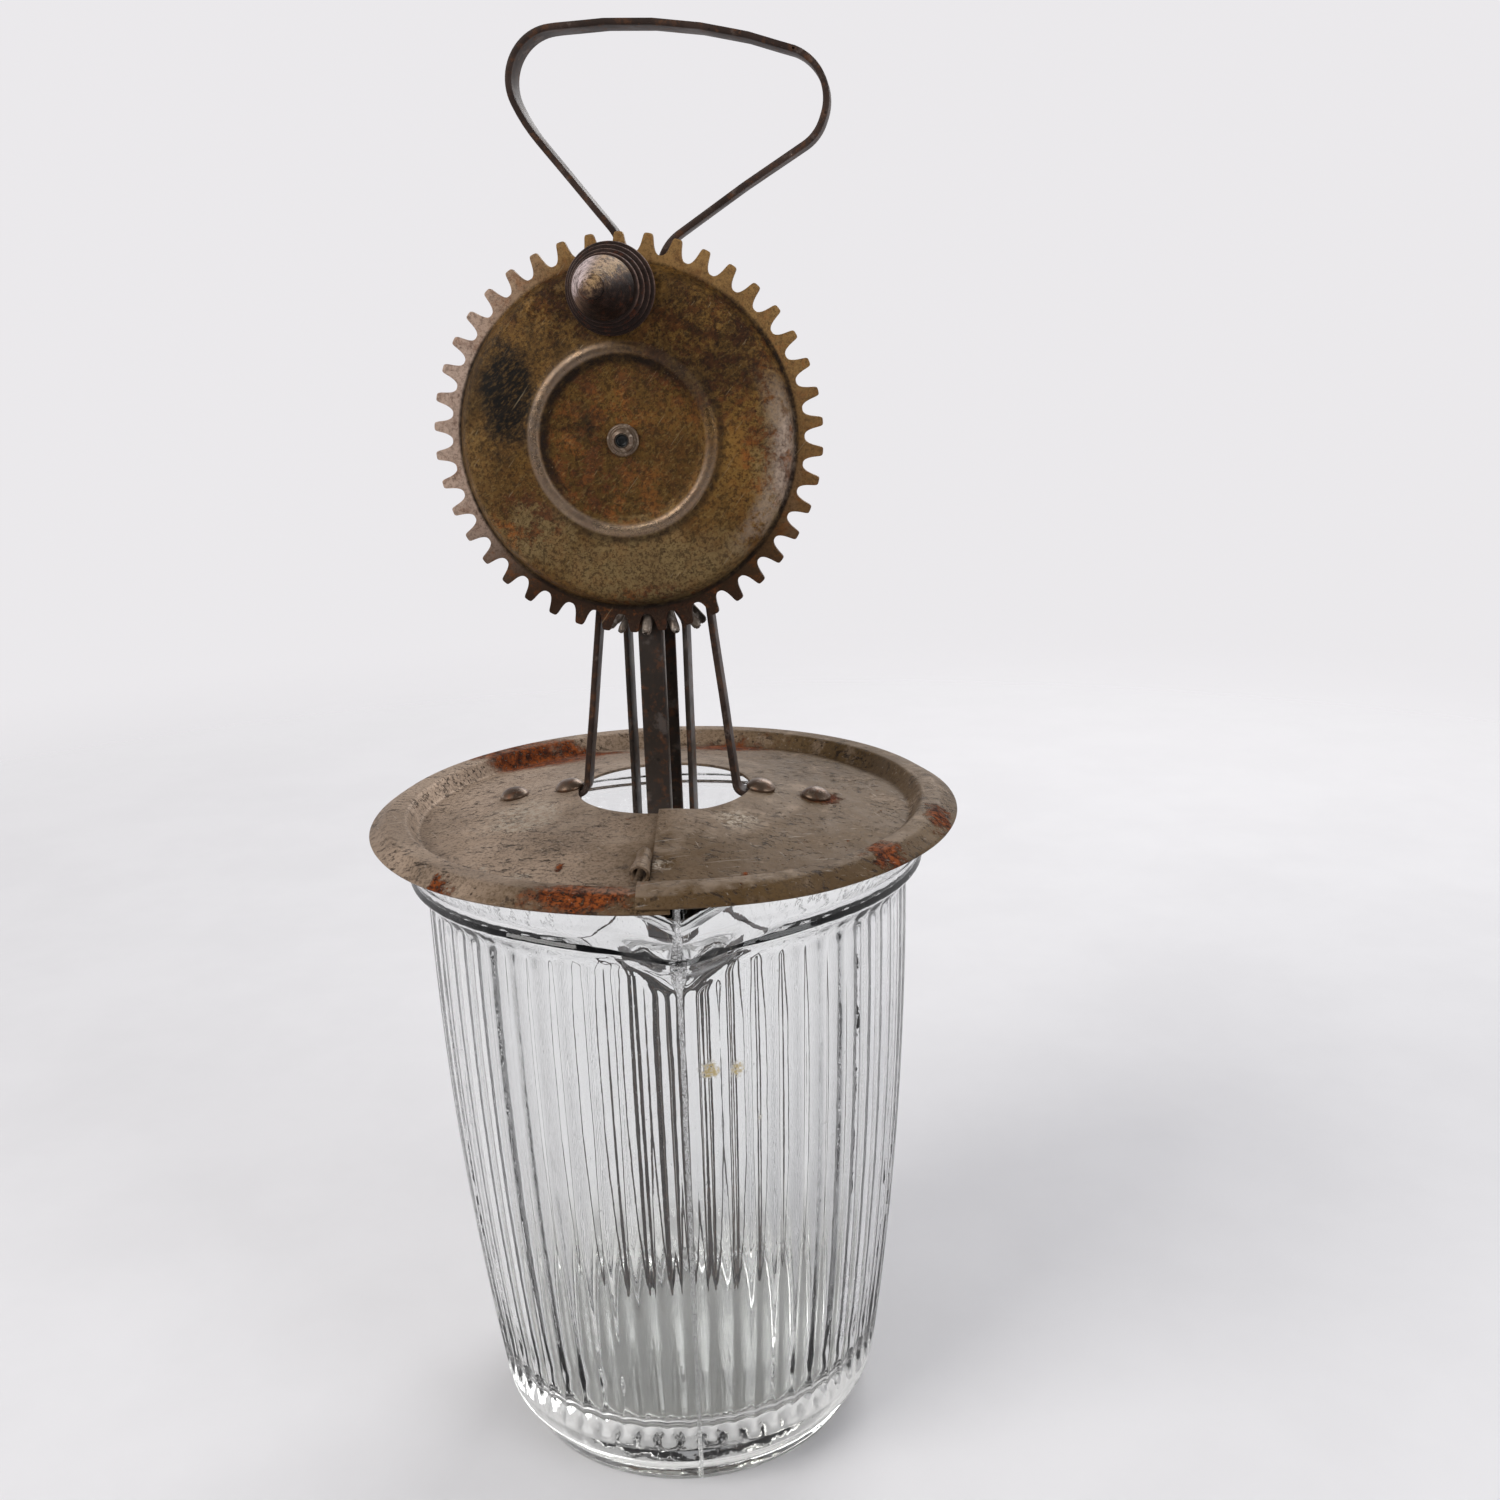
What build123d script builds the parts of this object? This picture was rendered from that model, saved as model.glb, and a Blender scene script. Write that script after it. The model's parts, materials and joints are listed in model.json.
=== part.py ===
from build123d import *
import math
import os

os.makedirs("parts", exist_ok=True)

# Hand-cranked mayonnaise mixer: a fluted glass jar under a tin lid.  The lid carries a
# strip frame, a toothed crank wheel and a dasher of bent steel strip that hangs in the jar.
#
# Millimetres.  The origin is the centre of the jar's foot, on the table, with +Z up.
# The crank wheel is on the -Y side, and its axle runs along Y.
# A bearing is an angle about Z, measured from -Y towards +X.

# ---------------------------------------------------------------- driving sizes: glass jar
jar_height = 139.1          # table to the top of the rim
foot_radius = 38.3
foot_height = 4.5
foot_ring_width = 5.0
foot_recess = 1.6
foot_ring_slope = 2.0       # inner side of the ring that the foot stands on
heel_radius = 42.2          # body radius where the foot's heel ends
heel_height = 8.5
body_radius = 50.4          # widest part of the fluted wall
shoulder_drop = 15.6        # from the rim down to where the lip starts to flare
lip_radius = 57.0
rim_height = 2.6            # upright outer face of the rim
glass_wall = 3.3
glass_floor = 14.0
floor_corner = 8.0
glass_edge = 1.0            # small chamfers at the rim and under the foot
flare_start = (2.0, 4.0)    # first, steep part of the lip's flare: outwards, upwards
flute_count = 60
flute_width = 4.15
flute_depth = 0.6
flute_bottom = 13.0
flute_top = 124.5
spout_bearing = 11.2
spout_overhang = 4.0        # how far the spout's nose stands out past the lip
spout_dip = 3.9             # how far the nose lies below the rim
spout_length = 22.1         # from the rim down to the lowest point of the spout
spout_knee = 10.6           # from the rim down to where the spout steepens
spout_knee_inset = 2.4      # how far the nose lies further in there than at the rim
spout_widths = (6.0, 25.0, 36.0)   # half widths at those three heights, inside the wall
spout_nose_radius = 4.0
spout_buried = 44.0         # the V's wide side lies inside the wall

# ---------------------------------------------------------------- driving sizes: lid
lid_sheet = 0.6
lid_overhang = 4.0          # past the jar's lip
lid_seat_gap = 0.3          # between the rim and the underside of the lid's bead
lid_bead_depth = 3.3        # top of the bead above the corner where the cone starts
lid_cone_rise = 5.2         # from that corner up to the edge of the opening
lid_edge_drop = 2.4         # outer edge below the top of the bead
opening_radius = 18.1
seam_bearing = 5.5
lap_angle = 4.5             # overlap of the two cut edges
lap_gap = 0.05
tab_length = 11.0           # curled tongue that locks the lap
tab_diameter = 3.4
tab_inner_end = 36.5        # its distance from the lid's centre

# ---------------------------------------------------------------- driving sizes: strip frame
strip_width = 5.0
strip_sheet = 1.25
strip_corner = 0.35
foot_gap = 0.05             # between the lid's underside and the feet
foot_reach = 36.5           # outer end of each foot
leg_foot_left = 16.3        # from the jar's axis to each leg's middle, at the lid
leg_foot_right = 15.4
foot_bend = 2.2
neck_left = (-2.4, 250.7)   # (x, z) where the legs end and the handle loop starts
neck_right = (5.2, 247.4)
loop_left_side = (-20.2, 271.0)
loop_left_top = (-25.7, 288.4)
loop_crown = (7.7, 289.9)
loop_right_top = (39.5, 280.4)
loop_right_end = (33.4, 266.6)
loop_right_low = (14.8, 257.7)
loop_radii = (9.0, 32.0, 8.7, 70.0, 8.7, 13.0, 38.0, 9.0)

foot_rivet_places = (-32.4, -20.3, 20.3, 31.8)
foot_rivet_shank = 1.5
foot_rivet_head = 3.1
foot_rivet_dome = 2.0
foot_rivet_tail = 2.3
foot_rivet_tail_height = 0.9

# ---------------------------------------------------------------- driving sizes: crank wheel
axle_x = -2.6
axle_height = 214.45
gear_offset = 8.3           # pinion's axis to the middle of the wheel's toothed ring
gear_sheet = 1.1
tooth_count = 42
tip_radius = 37.8
root_radius = 34.2
tooth_tip_width = 1.6
tooth_root_width = 2.7
tooth_trim = 0.18           # turns the wheel to even out the play beside each finger
tooth_rounding = 0.45
ring_inner_radius = 32.4    # inner edge of the flat toothed ring
shoulder_radius = 30.4
dish_depth = 3.3            # wheel's face in front of the toothed ring, at the shoulder
bead_radius = 17.0
bead_height = 1.6
bead_half_width = 1.7
hub_face_depth = 3.6        # flat centre in front of the toothed ring

# ---------------------------------------------------------------- driving sizes: axle
axle_radius = 1.4
axle_stub = 0.9             # in front of its collar
collar_radius = 2.05
collar_length = 0.8
running_fit = 0.06          # radial, where one piece turns on another
running_gap = 0.12          # endways, between a turning face and a fixed one
hub_washer_radius = 4.2
washer_sheet = 0.6
bush_radius = 3.1
bush_spigot_radius = 2.2
bush_tail = 0.9
axle_peen_radius = 1.9
axle_peen = 0.7

# ---------------------------------------------------------------- driving sizes: knob
crank_radius = 27.5
crank_lean = 0.6            # knob to the left of the axle, at rest
knob_radius = 8.4
knob_length = 19.0
knob_base_ring = 1.3
knob_rings = ((7.7, 2.7), (6.9, 4.5), (6.2, 6.3))   # radius and front edge of each ring
knob_ring_relief = 0.35
knob_dome_start = (5.7, 7.2)
knob_dome_middle = (4.4, 14.2)
knob_pin_radius = 1.4
knob_pin_head = 2.2
knob_pin_dome = 1.1
knob_washer_radius = 3.2
knob_standoff = 0.6         # the dish bulges this much beside the knob
knob_peen_radius = 2.7
knob_peen = 0.9

# ---------------------------------------------------------------- driving sizes: pinion
finger_count = 10
pinion_phase = -3.0         # bearing of its front finger, at rest
finger_slant = 50.0         # below the horizontal
finger_width = 1.9
finger_sheet = 1.0
finger_mesh_depth = 1.3     # finger's middle above the wheel's lowest tooth tips
finger_reach = 2.9          # along the slant, past the wheel's plane
finger_start = 5.0          # radius where the fingers leave the pinion's plate
pinion_plate_radius = 5.6
pinion_plate = 1.1
hub_radius = 2.6
hub_flange = 3.2
hub_boss = 0.8              # above the plate

# ---------------------------------------------------------------- driving sizes: dasher
dasher_strip = 5.0
dasher_sheet = 1.0
dasher_column = 6.1         # half the distance between the upright strips
dasher_shoulder = 4.0       # half the flat top of each loop
dasher_shoulder_drop = 3.2
dasher_shoulder_bend = 1.2
dasher_flare_top = 121.0
dasher_flare_bottom = 92.0
dasher_belly = 58.0
dasher_toe = 33.0
dasher_foot = 24.0          # height of the lower strip's middle above the table
outer_loop_reach = 22.0
inner_loop_reach = 19.0
toe_reach = 13.0
dasher_bend = 12.0
eyelet_radius = 2.4
eyelet_flange = 3.4
eyelet_flange_height = 0.6

# ---------------------------------------------------------------- driving sizes: rod, bracket
rod_radius = 1.5
rod_head_radius = 2.8
rod_head = 1.2
rod_washer_radius = 3.2
bracket_sheet = 1.0
bracket_front = 4.4         # web's front face, in front of the rod's axis
bracket_top = 236.0
bracket_gap = 0.05          # to the legs
bracket_rivet_up = (7.0, 46.0)   # above the bracket's shelf
bracket_rivet_shank = 1.1
bracket_rivet_head = 2.0
bracket_rivet_height = 0.9

# ---------------------------------------------------------------- worked-out sizes
shoulder_height = jar_height - shoulder_drop
spout_reach = lip_radius + spout_overhang          # radius of the spout's nose at the rim
spout_knee_reach = spout_reach - spout_knee_inset  # and at the knee
mouth_radius = lip_radius - glass_wall
lid_radius = lip_radius + lid_overhang
lid_bead_radius = (lip_radius + mouth_radius) / 2
lid_bead_top = jar_height + lid_seat_gap + lid_sheet
lid_corner_radius = mouth_radius - 2.5
lid_corner_top = lid_bead_top - lid_bead_depth
lid_slope = lid_cone_rise / (lid_corner_radius - opening_radius)
lid_slope_angle = math.degrees(math.atan(lid_slope))

gear_bottom = axle_height - tip_radius
finger_rise = math.tan(math.radians(finger_slant))
mesh_height = gear_bottom + finger_mesh_depth
plate_middle = mesh_height + (gear_offset - finger_start) * finger_rise
plate_top = plate_middle + pinion_plate / 2
plate_bottom = plate_middle - pinion_plate / 2
hub_top = plate_top + hub_boss
shelf_bottom = hub_top + running_gap + washer_sheet
shelf_top = shelf_bottom + bracket_sheet

dasher_top = plate_bottom - dasher_sheet / 2
hub_bottom = plate_bottom - 2 * dasher_sheet - 0.8
eyelet_bottom = dasher_foot - dasher_sheet / 2 - eyelet_flange_height
eyelet_top = dasher_foot + 1.5 * dasher_sheet + eyelet_flange_height
foot_washer_top = eyelet_bottom - running_gap
rod_head_top = foot_washer_top - washer_sheet
bore_radius = rod_radius + running_fit

hub_face_back = hub_face_depth - gear_sheet / 2
hub_face_front = hub_face_depth + gear_sheet / 2
bush_front = gear_offset + hub_face_back - washer_sheet - running_gap
bush_back = bracket_front - bracket_sheet - bush_tail
knob_x = axle_x - crank_lean
knob_z = axle_height + math.sqrt(crank_radius**2 - crank_lean**2)
crank_face_depth = dish_depth + gear_sheet / 2


def wall_radius(z):
    """Outer radius of the jar's body at height z: it narrows ever faster towards the heel."""
    fall = (shoulder_height - z) / (shoulder_height - heel_height)
    return body_radius - (body_radius - heel_radius) * fall**2


def lid_top(radius):
    """Height of the lid's conical top face at a distance from the centre."""
    return lid_corner_top + (lid_corner_radius - radius) * lid_slope


def leg_x(side, z):
    """Middle of a leg, side -1 for the left one and 1 for the right one, at height z."""
    neck_x, neck_z = neck_left if side < 0 else neck_right
    spread = leg_foot_left if side < 0 else leg_foot_right
    low_x = side * spread
    low_z = foot_middle(spread)
    return low_x + (neck_x - low_x) * (z - low_z) / (neck_z - low_z)


def foot_middle(radius):
    """Height of the middle of a foot, which lies against the underside of the cone."""
    below_top = lid_sheet + foot_gap + strip_sheet / 2
    return lid_top(radius) - below_top / math.cos(math.radians(lid_slope_angle))


def bearing_plane(bearing, lift=0.0):
    """Upright plane through the axis: its x runs outwards at the bearing, its y runs up."""
    angle = math.radians(bearing - 90)
    outward = (math.cos(angle), math.sin(angle), 0)
    return Plane(origin=(0, 0, lift), x_dir=outward, z_dir=(outward[1], -outward[0], 0))


def turning_plane(x, y, z):
    """Plane for pieces turned about an axis along Y: its x is the radius, its y runs to -Y."""
    return Plane(origin=(x, y, z), x_dir=(0, 0, 1), z_dir=(1, 0, 0))


def turned(x, y, z, outline):
    """Piece turned from (radius, forward) points about the axis along Y through x, y, z."""
    with BuildPart() as piece:
        with BuildSketch(turning_plane(x, y, z)):
            with BuildLine():
                Polyline(*outline, close=True)
            make_face()
        revolve(axis=Axis((x, y, z), (0, -1, 0)))
    return piece.part


def turned_upright(outline):
    """Piece turned from (radius, height) points about Z."""
    with BuildPart() as piece:
        with BuildSketch(Plane.XZ):
            with BuildLine():
                Polyline(*outline, close=True)
            make_face()
        revolve(axis=Axis.Z)
    return piece.part


def ring_outline(inner, outer, low, high):
    """Outline of a plain washer or sleeve."""
    return [(inner, low), (outer, low), (outer, high), (inner, high)]


def rivet_plane(x):
    """Plane on the lid's conical top face at a foot's rivet, with z pointing out of it."""
    slope = math.radians(lid_slope_angle)
    side = math.copysign(1, x)
    outward = (side * math.cos(slope), 0, -math.sin(slope))
    normal = (side * math.sin(slope), 0, math.cos(slope))
    return Plane(origin=(x, 0, lid_top(abs(x))), x_dir=outward, z_dir=normal)


def leg_plane(side, z):
    """Plane through the middle of a leg at height z, with z pointing away from the axis."""
    rise = 20.0
    run = leg_x(side, z + rise) - leg_x(side, z)
    length = math.hypot(rise, run)
    normal = (side * rise / length, 0, -side * run / length)
    return Plane(origin=(leg_x(side, z), 0, z), x_dir=(0, 1, 0), z_dir=normal)


# ================================================================ glass jar
def spout_section(height, nose, half_width, inset):
    """Flat V of the spout at one height, its wide side buried in the wall."""
    with BuildSketch(Plane.XY.offset(height).rotated((0, 0, spout_bearing))) as section:
        with BuildLine():
            FilletPolyline(
                (-half_width, -spout_buried),
                (0, inset - nose),
                (half_width, -spout_buried),
                radius=(spout_nose_radius,),
            )
            Line((half_width, -spout_buried), (-half_width, -spout_buried))
        make_face()
    return section.sketch


def spout_solid(inset):
    """Body of the spout, or with an inset the channel inside it."""
    low_half, knee_half, high_half = spout_widths
    low_height = jar_height - spout_length
    top = jar_height + (0.5 if inset else 0.0)
    low = spout_section(low_height + inset, body_radius - 0.2, low_half, inset)
    middle = spout_section(jar_height - spout_knee, spout_knee_reach, knee_half - inset, inset)
    high = spout_section(top, spout_reach, high_half - inset, inset)
    with BuildPart() as spout:
        loft(sections=[low, middle, high], ruled=True)
    return spout.part


with BuildPart() as flute:
    flute_radius = (flute_width**2 / 4 + flute_depth**2) / (2 * flute_depth)
    standoff = flute_radius - flute_depth
    flute_middle = (flute_bottom + flute_top) / 2
    with BuildLine(bearing_plane(spout_bearing)) as flute_path:
        ThreePointArc(
            (wall_radius(flute_bottom) + standoff, flute_bottom),
            (wall_radius(flute_middle) + standoff, flute_middle),
            (wall_radius(flute_top) + standoff, flute_top),
        )
    flute_wire = flute_path.wires()[0]
    with BuildSketch(Plane(origin=flute_wire @ 0, z_dir=flute_wire % 0)):
        Circle(flute_radius)
    sweep(path=flute_wire)
    with Locations(flute_wire @ 0, flute_wire @ 1):
        Sphere(flute_radius)

with BuildPart() as glass_jar:
    middle = (heel_height + shoulder_height) / 2
    flare_foot = (body_radius + flare_start[0], shoulder_height + flare_start[1])
    rim_low = jar_height - rim_height
    with BuildSketch(Plane.XZ):
        with BuildLine():
            Polyline(
                (0, foot_recess),
                (foot_radius - foot_ring_width - foot_ring_slope, foot_recess),
                (foot_radius - foot_ring_width, 0),
                (foot_radius - glass_edge, 0),
                (foot_radius, glass_edge),
                (foot_radius + 0.3, foot_height),
                (heel_radius, heel_height),
            )
            ThreePointArc(
                (heel_radius, heel_height),
                (wall_radius(middle), middle),
                (body_radius, shoulder_height),
            )
            Polyline(
                (body_radius, shoulder_height),
                flare_foot,
                (lip_radius, rim_low),
                (lip_radius, jar_height - glass_edge),
                (lip_radius - glass_edge, jar_height),
                (0, jar_height),
                (0, foot_recess),
            )
        make_face()
    revolve(axis=Axis.Z)
    with PolarLocations(0, flute_count):
        add(flute.part, mode=Mode.SUBTRACT)
    add(spout_solid(0))
    # room inside: straight down the mouth, then along the wall to a rounded floor corner
    corner_top = glass_floor + floor_corner
    corner_radius = wall_radius(corner_top) - glass_wall
    with BuildSketch(Plane.XZ):
        with BuildLine():
            Line((0, glass_floor), (corner_radius - floor_corner, glass_floor))
            ThreePointArc(
                (corner_radius - floor_corner, glass_floor),
                (
                    corner_radius - floor_corner * (1 - math.sqrt(0.5)),
                    corner_top - floor_corner * math.sqrt(0.5),
                ),
                (corner_radius, corner_top),
            )
            ThreePointArc(
                (corner_radius, corner_top),
                (wall_radius(middle) - glass_wall, middle),
                (body_radius - glass_wall, shoulder_height),
            )
            Polyline(
                (body_radius - glass_wall, shoulder_height),
                (mouth_radius, rim_low),
                (mouth_radius, jar_height - glass_edge),
                (mouth_radius + glass_edge, jar_height),
                (mouth_radius + glass_edge, jar_height + 5),
                (0, jar_height + 5),
                (0, glass_floor),
            )
        make_face()
    revolve(axis=Axis.Z, mode=Mode.SUBTRACT)
    add(spout_solid(glass_wall), mode=Mode.SUBTRACT)
    # the nose dips below the rim, so that the lid clears it
    with BuildSketch(bearing_plane(spout_bearing)):
        Polygon(
            (lip_radius - 1.0, jar_height),
            (spout_reach + 2, jar_height - spout_dip - 0.9),
            (spout_reach + 2, jar_height + 1),
            (lip_radius - 1.0, jar_height + 1),
            align=None,
        )
    extrude(amount=18, both=True, mode=Mode.SUBTRACT)
glass_jar.part.label = "glass_jar"
export_step(glass_jar.part, "parts/glass_jar.step")


# ================================================================ lid
def lid_sector(start, sweep_angle, lift):
    """Part of the pressed lid between two bearings, raised by lift."""
    with BuildPart() as sector:
        with BuildSketch(bearing_plane(start, lift)):
            with BuildLine():
                FilletPolyline(
                    (opening_radius, lid_top(opening_radius)),
                    (lid_corner_radius, lid_corner_top),
                    (lid_bead_radius - 1.6, lid_bead_top),
                    (lid_bead_radius + 2.6, lid_bead_top),
                    (lid_radius, lid_bead_top - lid_edge_drop),
                    radius=(1.0, 1.2, 3.0),
                )
                offset(amount=lid_sheet, side=Side.RIGHT)
            make_face()
        revolve(axis=Axis.Z, revolution_arc=sweep_angle)
    return sector.part


with BuildPart() as lid:
    ramp_steps = 4
    ramp_angle = 1.2
    lap_end = seam_bearing + lap_angle
    ramp_end = lap_end + ramp_steps * ramp_angle
    lap_lift = lid_sheet + lap_gap
    add(lid_sector(ramp_end, 360 - ramp_steps * ramp_angle - 0.4, 0))
    add(lid_sector(seam_bearing, lap_angle + ramp_angle, lap_lift))
    for step in range(1, ramp_steps):
        step_lift = lap_lift * (1 - step / ramp_steps)
        add(lid_sector(lap_end + step * ramp_angle, ramp_angle, step_lift))
    # curled tongue on the lap's edge, and the dimple beside it
    tab_bearing = seam_bearing - 2.3
    tab_middle = tab_inner_end + tab_length / 2
    tab_axis_plane = bearing_plane(tab_bearing, 0)
    outward = tab_axis_plane.x_dir
    slope_down = Vector(0, 0, -lid_slope)
    along = (outward + slope_down).normalized()
    tab_start = outward * tab_inner_end + Vector(0, 0, lid_top(tab_inner_end) + tab_diameter / 2 - 0.1)
    with BuildSketch(Plane(origin=tab_start, x_dir=tab_axis_plane.z_dir, z_dir=along)):
        Circle(tab_diameter / 2)
        Circle(tab_diameter / 2 - lid_sheet, mode=Mode.SUBTRACT)
    extrude(amount=tab_length)
    dimple_plane = bearing_plane(seam_bearing + 3.2)
    dimple_radius = 2.6
    dimple_place = dimple_plane.x_dir * (tab_middle - 1) + Vector(0, 0, lid_top(tab_middle - 1) - 1.2)
    with Locations(dimple_place):
        Sphere(dimple_radius)
    # nothing of the dimple shows below the sheet
    with BuildSketch(Plane.XY.offset(lid_top(tab_middle) - 8)):
        with Locations(dimple_plane.x_dir * (tab_middle - 1)):
            Circle(dimple_radius + 0.5)
    extrude(amount=7.2, mode=Mode.SUBTRACT)
lid.part.label = "lid"

with BuildPart() as rivet_holes:
    for place in foot_rivet_places:
        with BuildSketch(rivet_plane(place)):
            Circle(foot_rivet_shank)
        extrude(amount=6, both=True)

with BuildPart() as drilled_lid:
    add(lid.part)
    add(rivet_holes.part, mode=Mode.SUBTRACT)
drilled_lid.part.label = "lid"
export_step(drilled_lid.part, "parts/lid.step")


# ================================================================ strip frame and its rivets
with BuildPart() as handle_frame:
    foot_end = (foot_reach, foot_middle(foot_reach))
    left_corner = (-leg_foot_left, foot_middle(leg_foot_left))
    right_corner = (leg_foot_right, foot_middle(leg_foot_right))
    with BuildLine(Plane.XZ) as frame_path:
        FilletPolyline(
            (-foot_end[0], foot_end[1]),
            left_corner,
            neck_left,
            loop_left_side,
            loop_left_top,
            loop_crown,
            loop_right_top,
            loop_right_end,
            loop_right_low,
            neck_right,
            right_corner,
            foot_end,
            radius=(foot_bend, *loop_radii, foot_bend),
        )
    frame_wire = frame_path.wires()[0]
    with BuildSketch(Plane(origin=frame_wire @ 0, x_dir=(0, 1, 0), z_dir=frame_wire % 0)):
        RectangleRounded(strip_width, strip_sheet, strip_corner)
    sweep(path=frame_wire)
    add(rivet_holes.part, mode=Mode.SUBTRACT)
    for side in (-1, 1):
        for up in bracket_rivet_up:
            with BuildSketch(leg_plane(side, shelf_bottom + up)):
                Circle(bracket_rivet_shank)
            extrude(amount=4, both=True, mode=Mode.SUBTRACT)
handle_frame.part.label = "handle_frame"
export_step(handle_frame.part, "parts/handle_frame.step")

with BuildPart() as foot_rivets:
    stack = lid_sheet + foot_gap + strip_sheet
    ball = (foot_rivet_head**2 + foot_rivet_dome**2) / (2 * foot_rivet_dome)
    for place in foot_rivet_places:
        top = rivet_plane(place)
        with BuildSketch(top):
            Circle(foot_rivet_shank)
        extrude(amount=-stack)
        with BuildSketch(top.offset(-stack)):
            Circle(foot_rivet_tail)
        extrude(amount=-foot_rivet_tail_height)
        # domed head: a cap of a ball that is as wide as the head
        with BuildSketch(Plane(origin=top.origin, x_dir=top.x_dir, z_dir=-top.y_dir)):
            with BuildLine():
                Line((0, 0), (foot_rivet_head, 0))
                RadiusArc((foot_rivet_head, 0), (0, foot_rivet_dome), -ball)
                Line((0, foot_rivet_dome), (0, 0))
            make_face()
        revolve(axis=Axis(top.origin, top.z_dir))
foot_rivets.part.label = "foot_rivets"
export_step(foot_rivets.part, "parts/foot_rivets.step")


# ================================================================ gear bracket and its rivets
def bracket_outline(inset, low, high):
    """Trapezium between the legs, drawn in x and z, inset from the legs' inner faces."""
    reach = strip_sheet / 2 + bracket_gap + inset
    return [
        (leg_x(-1, low) + reach, low),
        (leg_x(1, low) - reach, low),
        (leg_x(1, high) - reach, high),
        (leg_x(-1, high) + reach, high),
    ]


with BuildPart() as gear_bracket:
    bracket_depth = bracket_front + strip_width / 2
    with BuildSketch(Plane.XZ.offset(bracket_front)):
        Polygon(*bracket_outline(0, shelf_bottom, bracket_top), align=None)
    extrude(amount=-bracket_depth)
    with BuildSketch(Plane.XZ.offset(bracket_front - bracket_sheet)):
        Polygon(*bracket_outline(bracket_sheet, shelf_top, bracket_top + 2), align=None)
    extrude(amount=-bracket_depth, mode=Mode.SUBTRACT)
    with BuildSketch(Plane.XZ.offset(bracket_front)):
        with Locations((axle_x, axle_height)):
            Circle(bush_spigot_radius)
    extrude(amount=-bracket_sheet, mode=Mode.SUBTRACT)
    with BuildSketch(Plane.XY.offset(shelf_bottom)):
        Circle(rod_radius)
    extrude(amount=bracket_sheet, mode=Mode.SUBTRACT)
    for side in (-1, 1):
        for up in bracket_rivet_up:
            with BuildSketch(leg_plane(side, shelf_bottom + up)):
                Circle(bracket_rivet_shank)
            extrude(amount=3, both=True, mode=Mode.SUBTRACT)
gear_bracket.part.label = "gear_bracket"
export_step(gear_bracket.part, "parts/gear_bracket.step")

with BuildPart() as bracket_rivets:
    outer_face = strip_sheet / 2
    inner_face = outer_face + bracket_gap + bracket_sheet
    for side in (-1, 1):
        for up in bracket_rivet_up:
            middle_plane = leg_plane(side, shelf_bottom + up)
            with BuildSketch(middle_plane.offset(-inner_face)):
                Circle(bracket_rivet_shank)
            extrude(amount=inner_face + outer_face)
            with BuildSketch(middle_plane.offset(outer_face)):
                Circle(bracket_rivet_head)
            extrude(amount=bracket_rivet_height, taper=35)
            with BuildSketch(middle_plane.offset(-inner_face)):
                Circle(bracket_rivet_head)
            extrude(amount=-bracket_rivet_height, taper=35)
bracket_rivets.part.label = "bracket_rivets"
export_step(bracket_rivets.part, "parts/bracket_rivets.step")


# ================================================================ crank wheel and axle
def forward(depth):
    """Y of a place in front of the toothed ring's middle."""
    return -gear_offset - depth


with BuildPart() as drive_gear:
    wheel_plane = Plane(origin=(axle_x, -gear_offset, axle_height), x_dir=(1, 0, 0), z_dir=(0, -1, 0))
    # a gap between two teeth faces the pinion's front finger
    finger_x = gear_offset * math.tan(math.radians(pinion_phase))
    mesh_direction = math.degrees(math.atan2(mesh_height - axle_height, finger_x - axle_x))
    first_tooth = mesh_direction + 180 / tooth_count + tooth_trim
    with BuildSketch(wheel_plane.offset(-gear_sheet / 2)) as toothed_ring:
        Circle(root_radius)
        with PolarLocations(0, tooth_count, start_angle=first_tooth):
            Polygon(
                (root_radius - 0.4, -tooth_root_width / 2 - 0.1),
                (tip_radius, -tooth_tip_width / 2),
                (tip_radius, tooth_tip_width / 2),
                (root_radius - 0.4, tooth_root_width / 2 + 0.1),
                align=None,
            )
        fillet(toothed_ring.vertices(), tooth_rounding)
        Circle(ring_inner_radius - 0.2, mode=Mode.SUBTRACT)
    extrude(amount=gear_sheet)
    with BuildSketch(turning_plane(axle_x, -gear_offset, axle_height)):
        with BuildLine():
            FilletPolyline(
                (axle_radius, hub_face_back),
                (bead_radius - bead_half_width, hub_face_back),
                (bead_radius, hub_face_back + bead_height),
                (bead_radius + bead_half_width, hub_face_back + 0.7),
                (shoulder_radius, dish_depth - gear_sheet / 2),
                (ring_inner_radius, -gear_sheet / 2),
                (ring_inner_radius + 0.6, -gear_sheet / 2),
                radius=(0.6, 0.7, 0.6, 1.4, 0.5),
            )
            offset(amount=gear_sheet, side=Side.LEFT)
        make_face()
    revolve(axis=Axis((axle_x, 0, axle_height), (0, -1, 0)))
    with BuildSketch(Plane.XZ.offset(gear_offset - 2)):
        with Locations((knob_x, knob_z)):
            Circle(knob_pin_radius)
    extrude(amount=12, mode=Mode.SUBTRACT)
drive_gear.part.label = "drive_gear"
export_step(drive_gear.part, "parts/drive_gear.step")

with BuildPart() as axle:
    shaft_front = hub_face_front + collar_length + axle_stub
    shaft_back = -(gear_offset - bush_back) - running_gap - washer_sheet
    add(
        turned(
            axle_x,
            -gear_offset,
            axle_height,
            [
                (0, shaft_front),
                (axle_radius - 0.5, shaft_front),
                (axle_radius, shaft_front - 0.4),
                (axle_radius, shaft_back),
                (axle_peen_radius, shaft_back),
                (axle_peen_radius - 0.5, shaft_back - axle_peen),
                (0, shaft_back - axle_peen),
            ],
    )
    )
axle.part.label = "axle"
export_step(axle.part, "parts/axle.step")

with BuildPart() as axle_collar:
    collar = ring_outline(axle_radius, collar_radius, hub_face_front, hub_face_front + collar_length)
    add(turned(axle_x, -gear_offset, axle_height, collar))
axle_collar.part.label = "axle_collar"
export_step(axle_collar.part, "parts/axle_collar.step")

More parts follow.
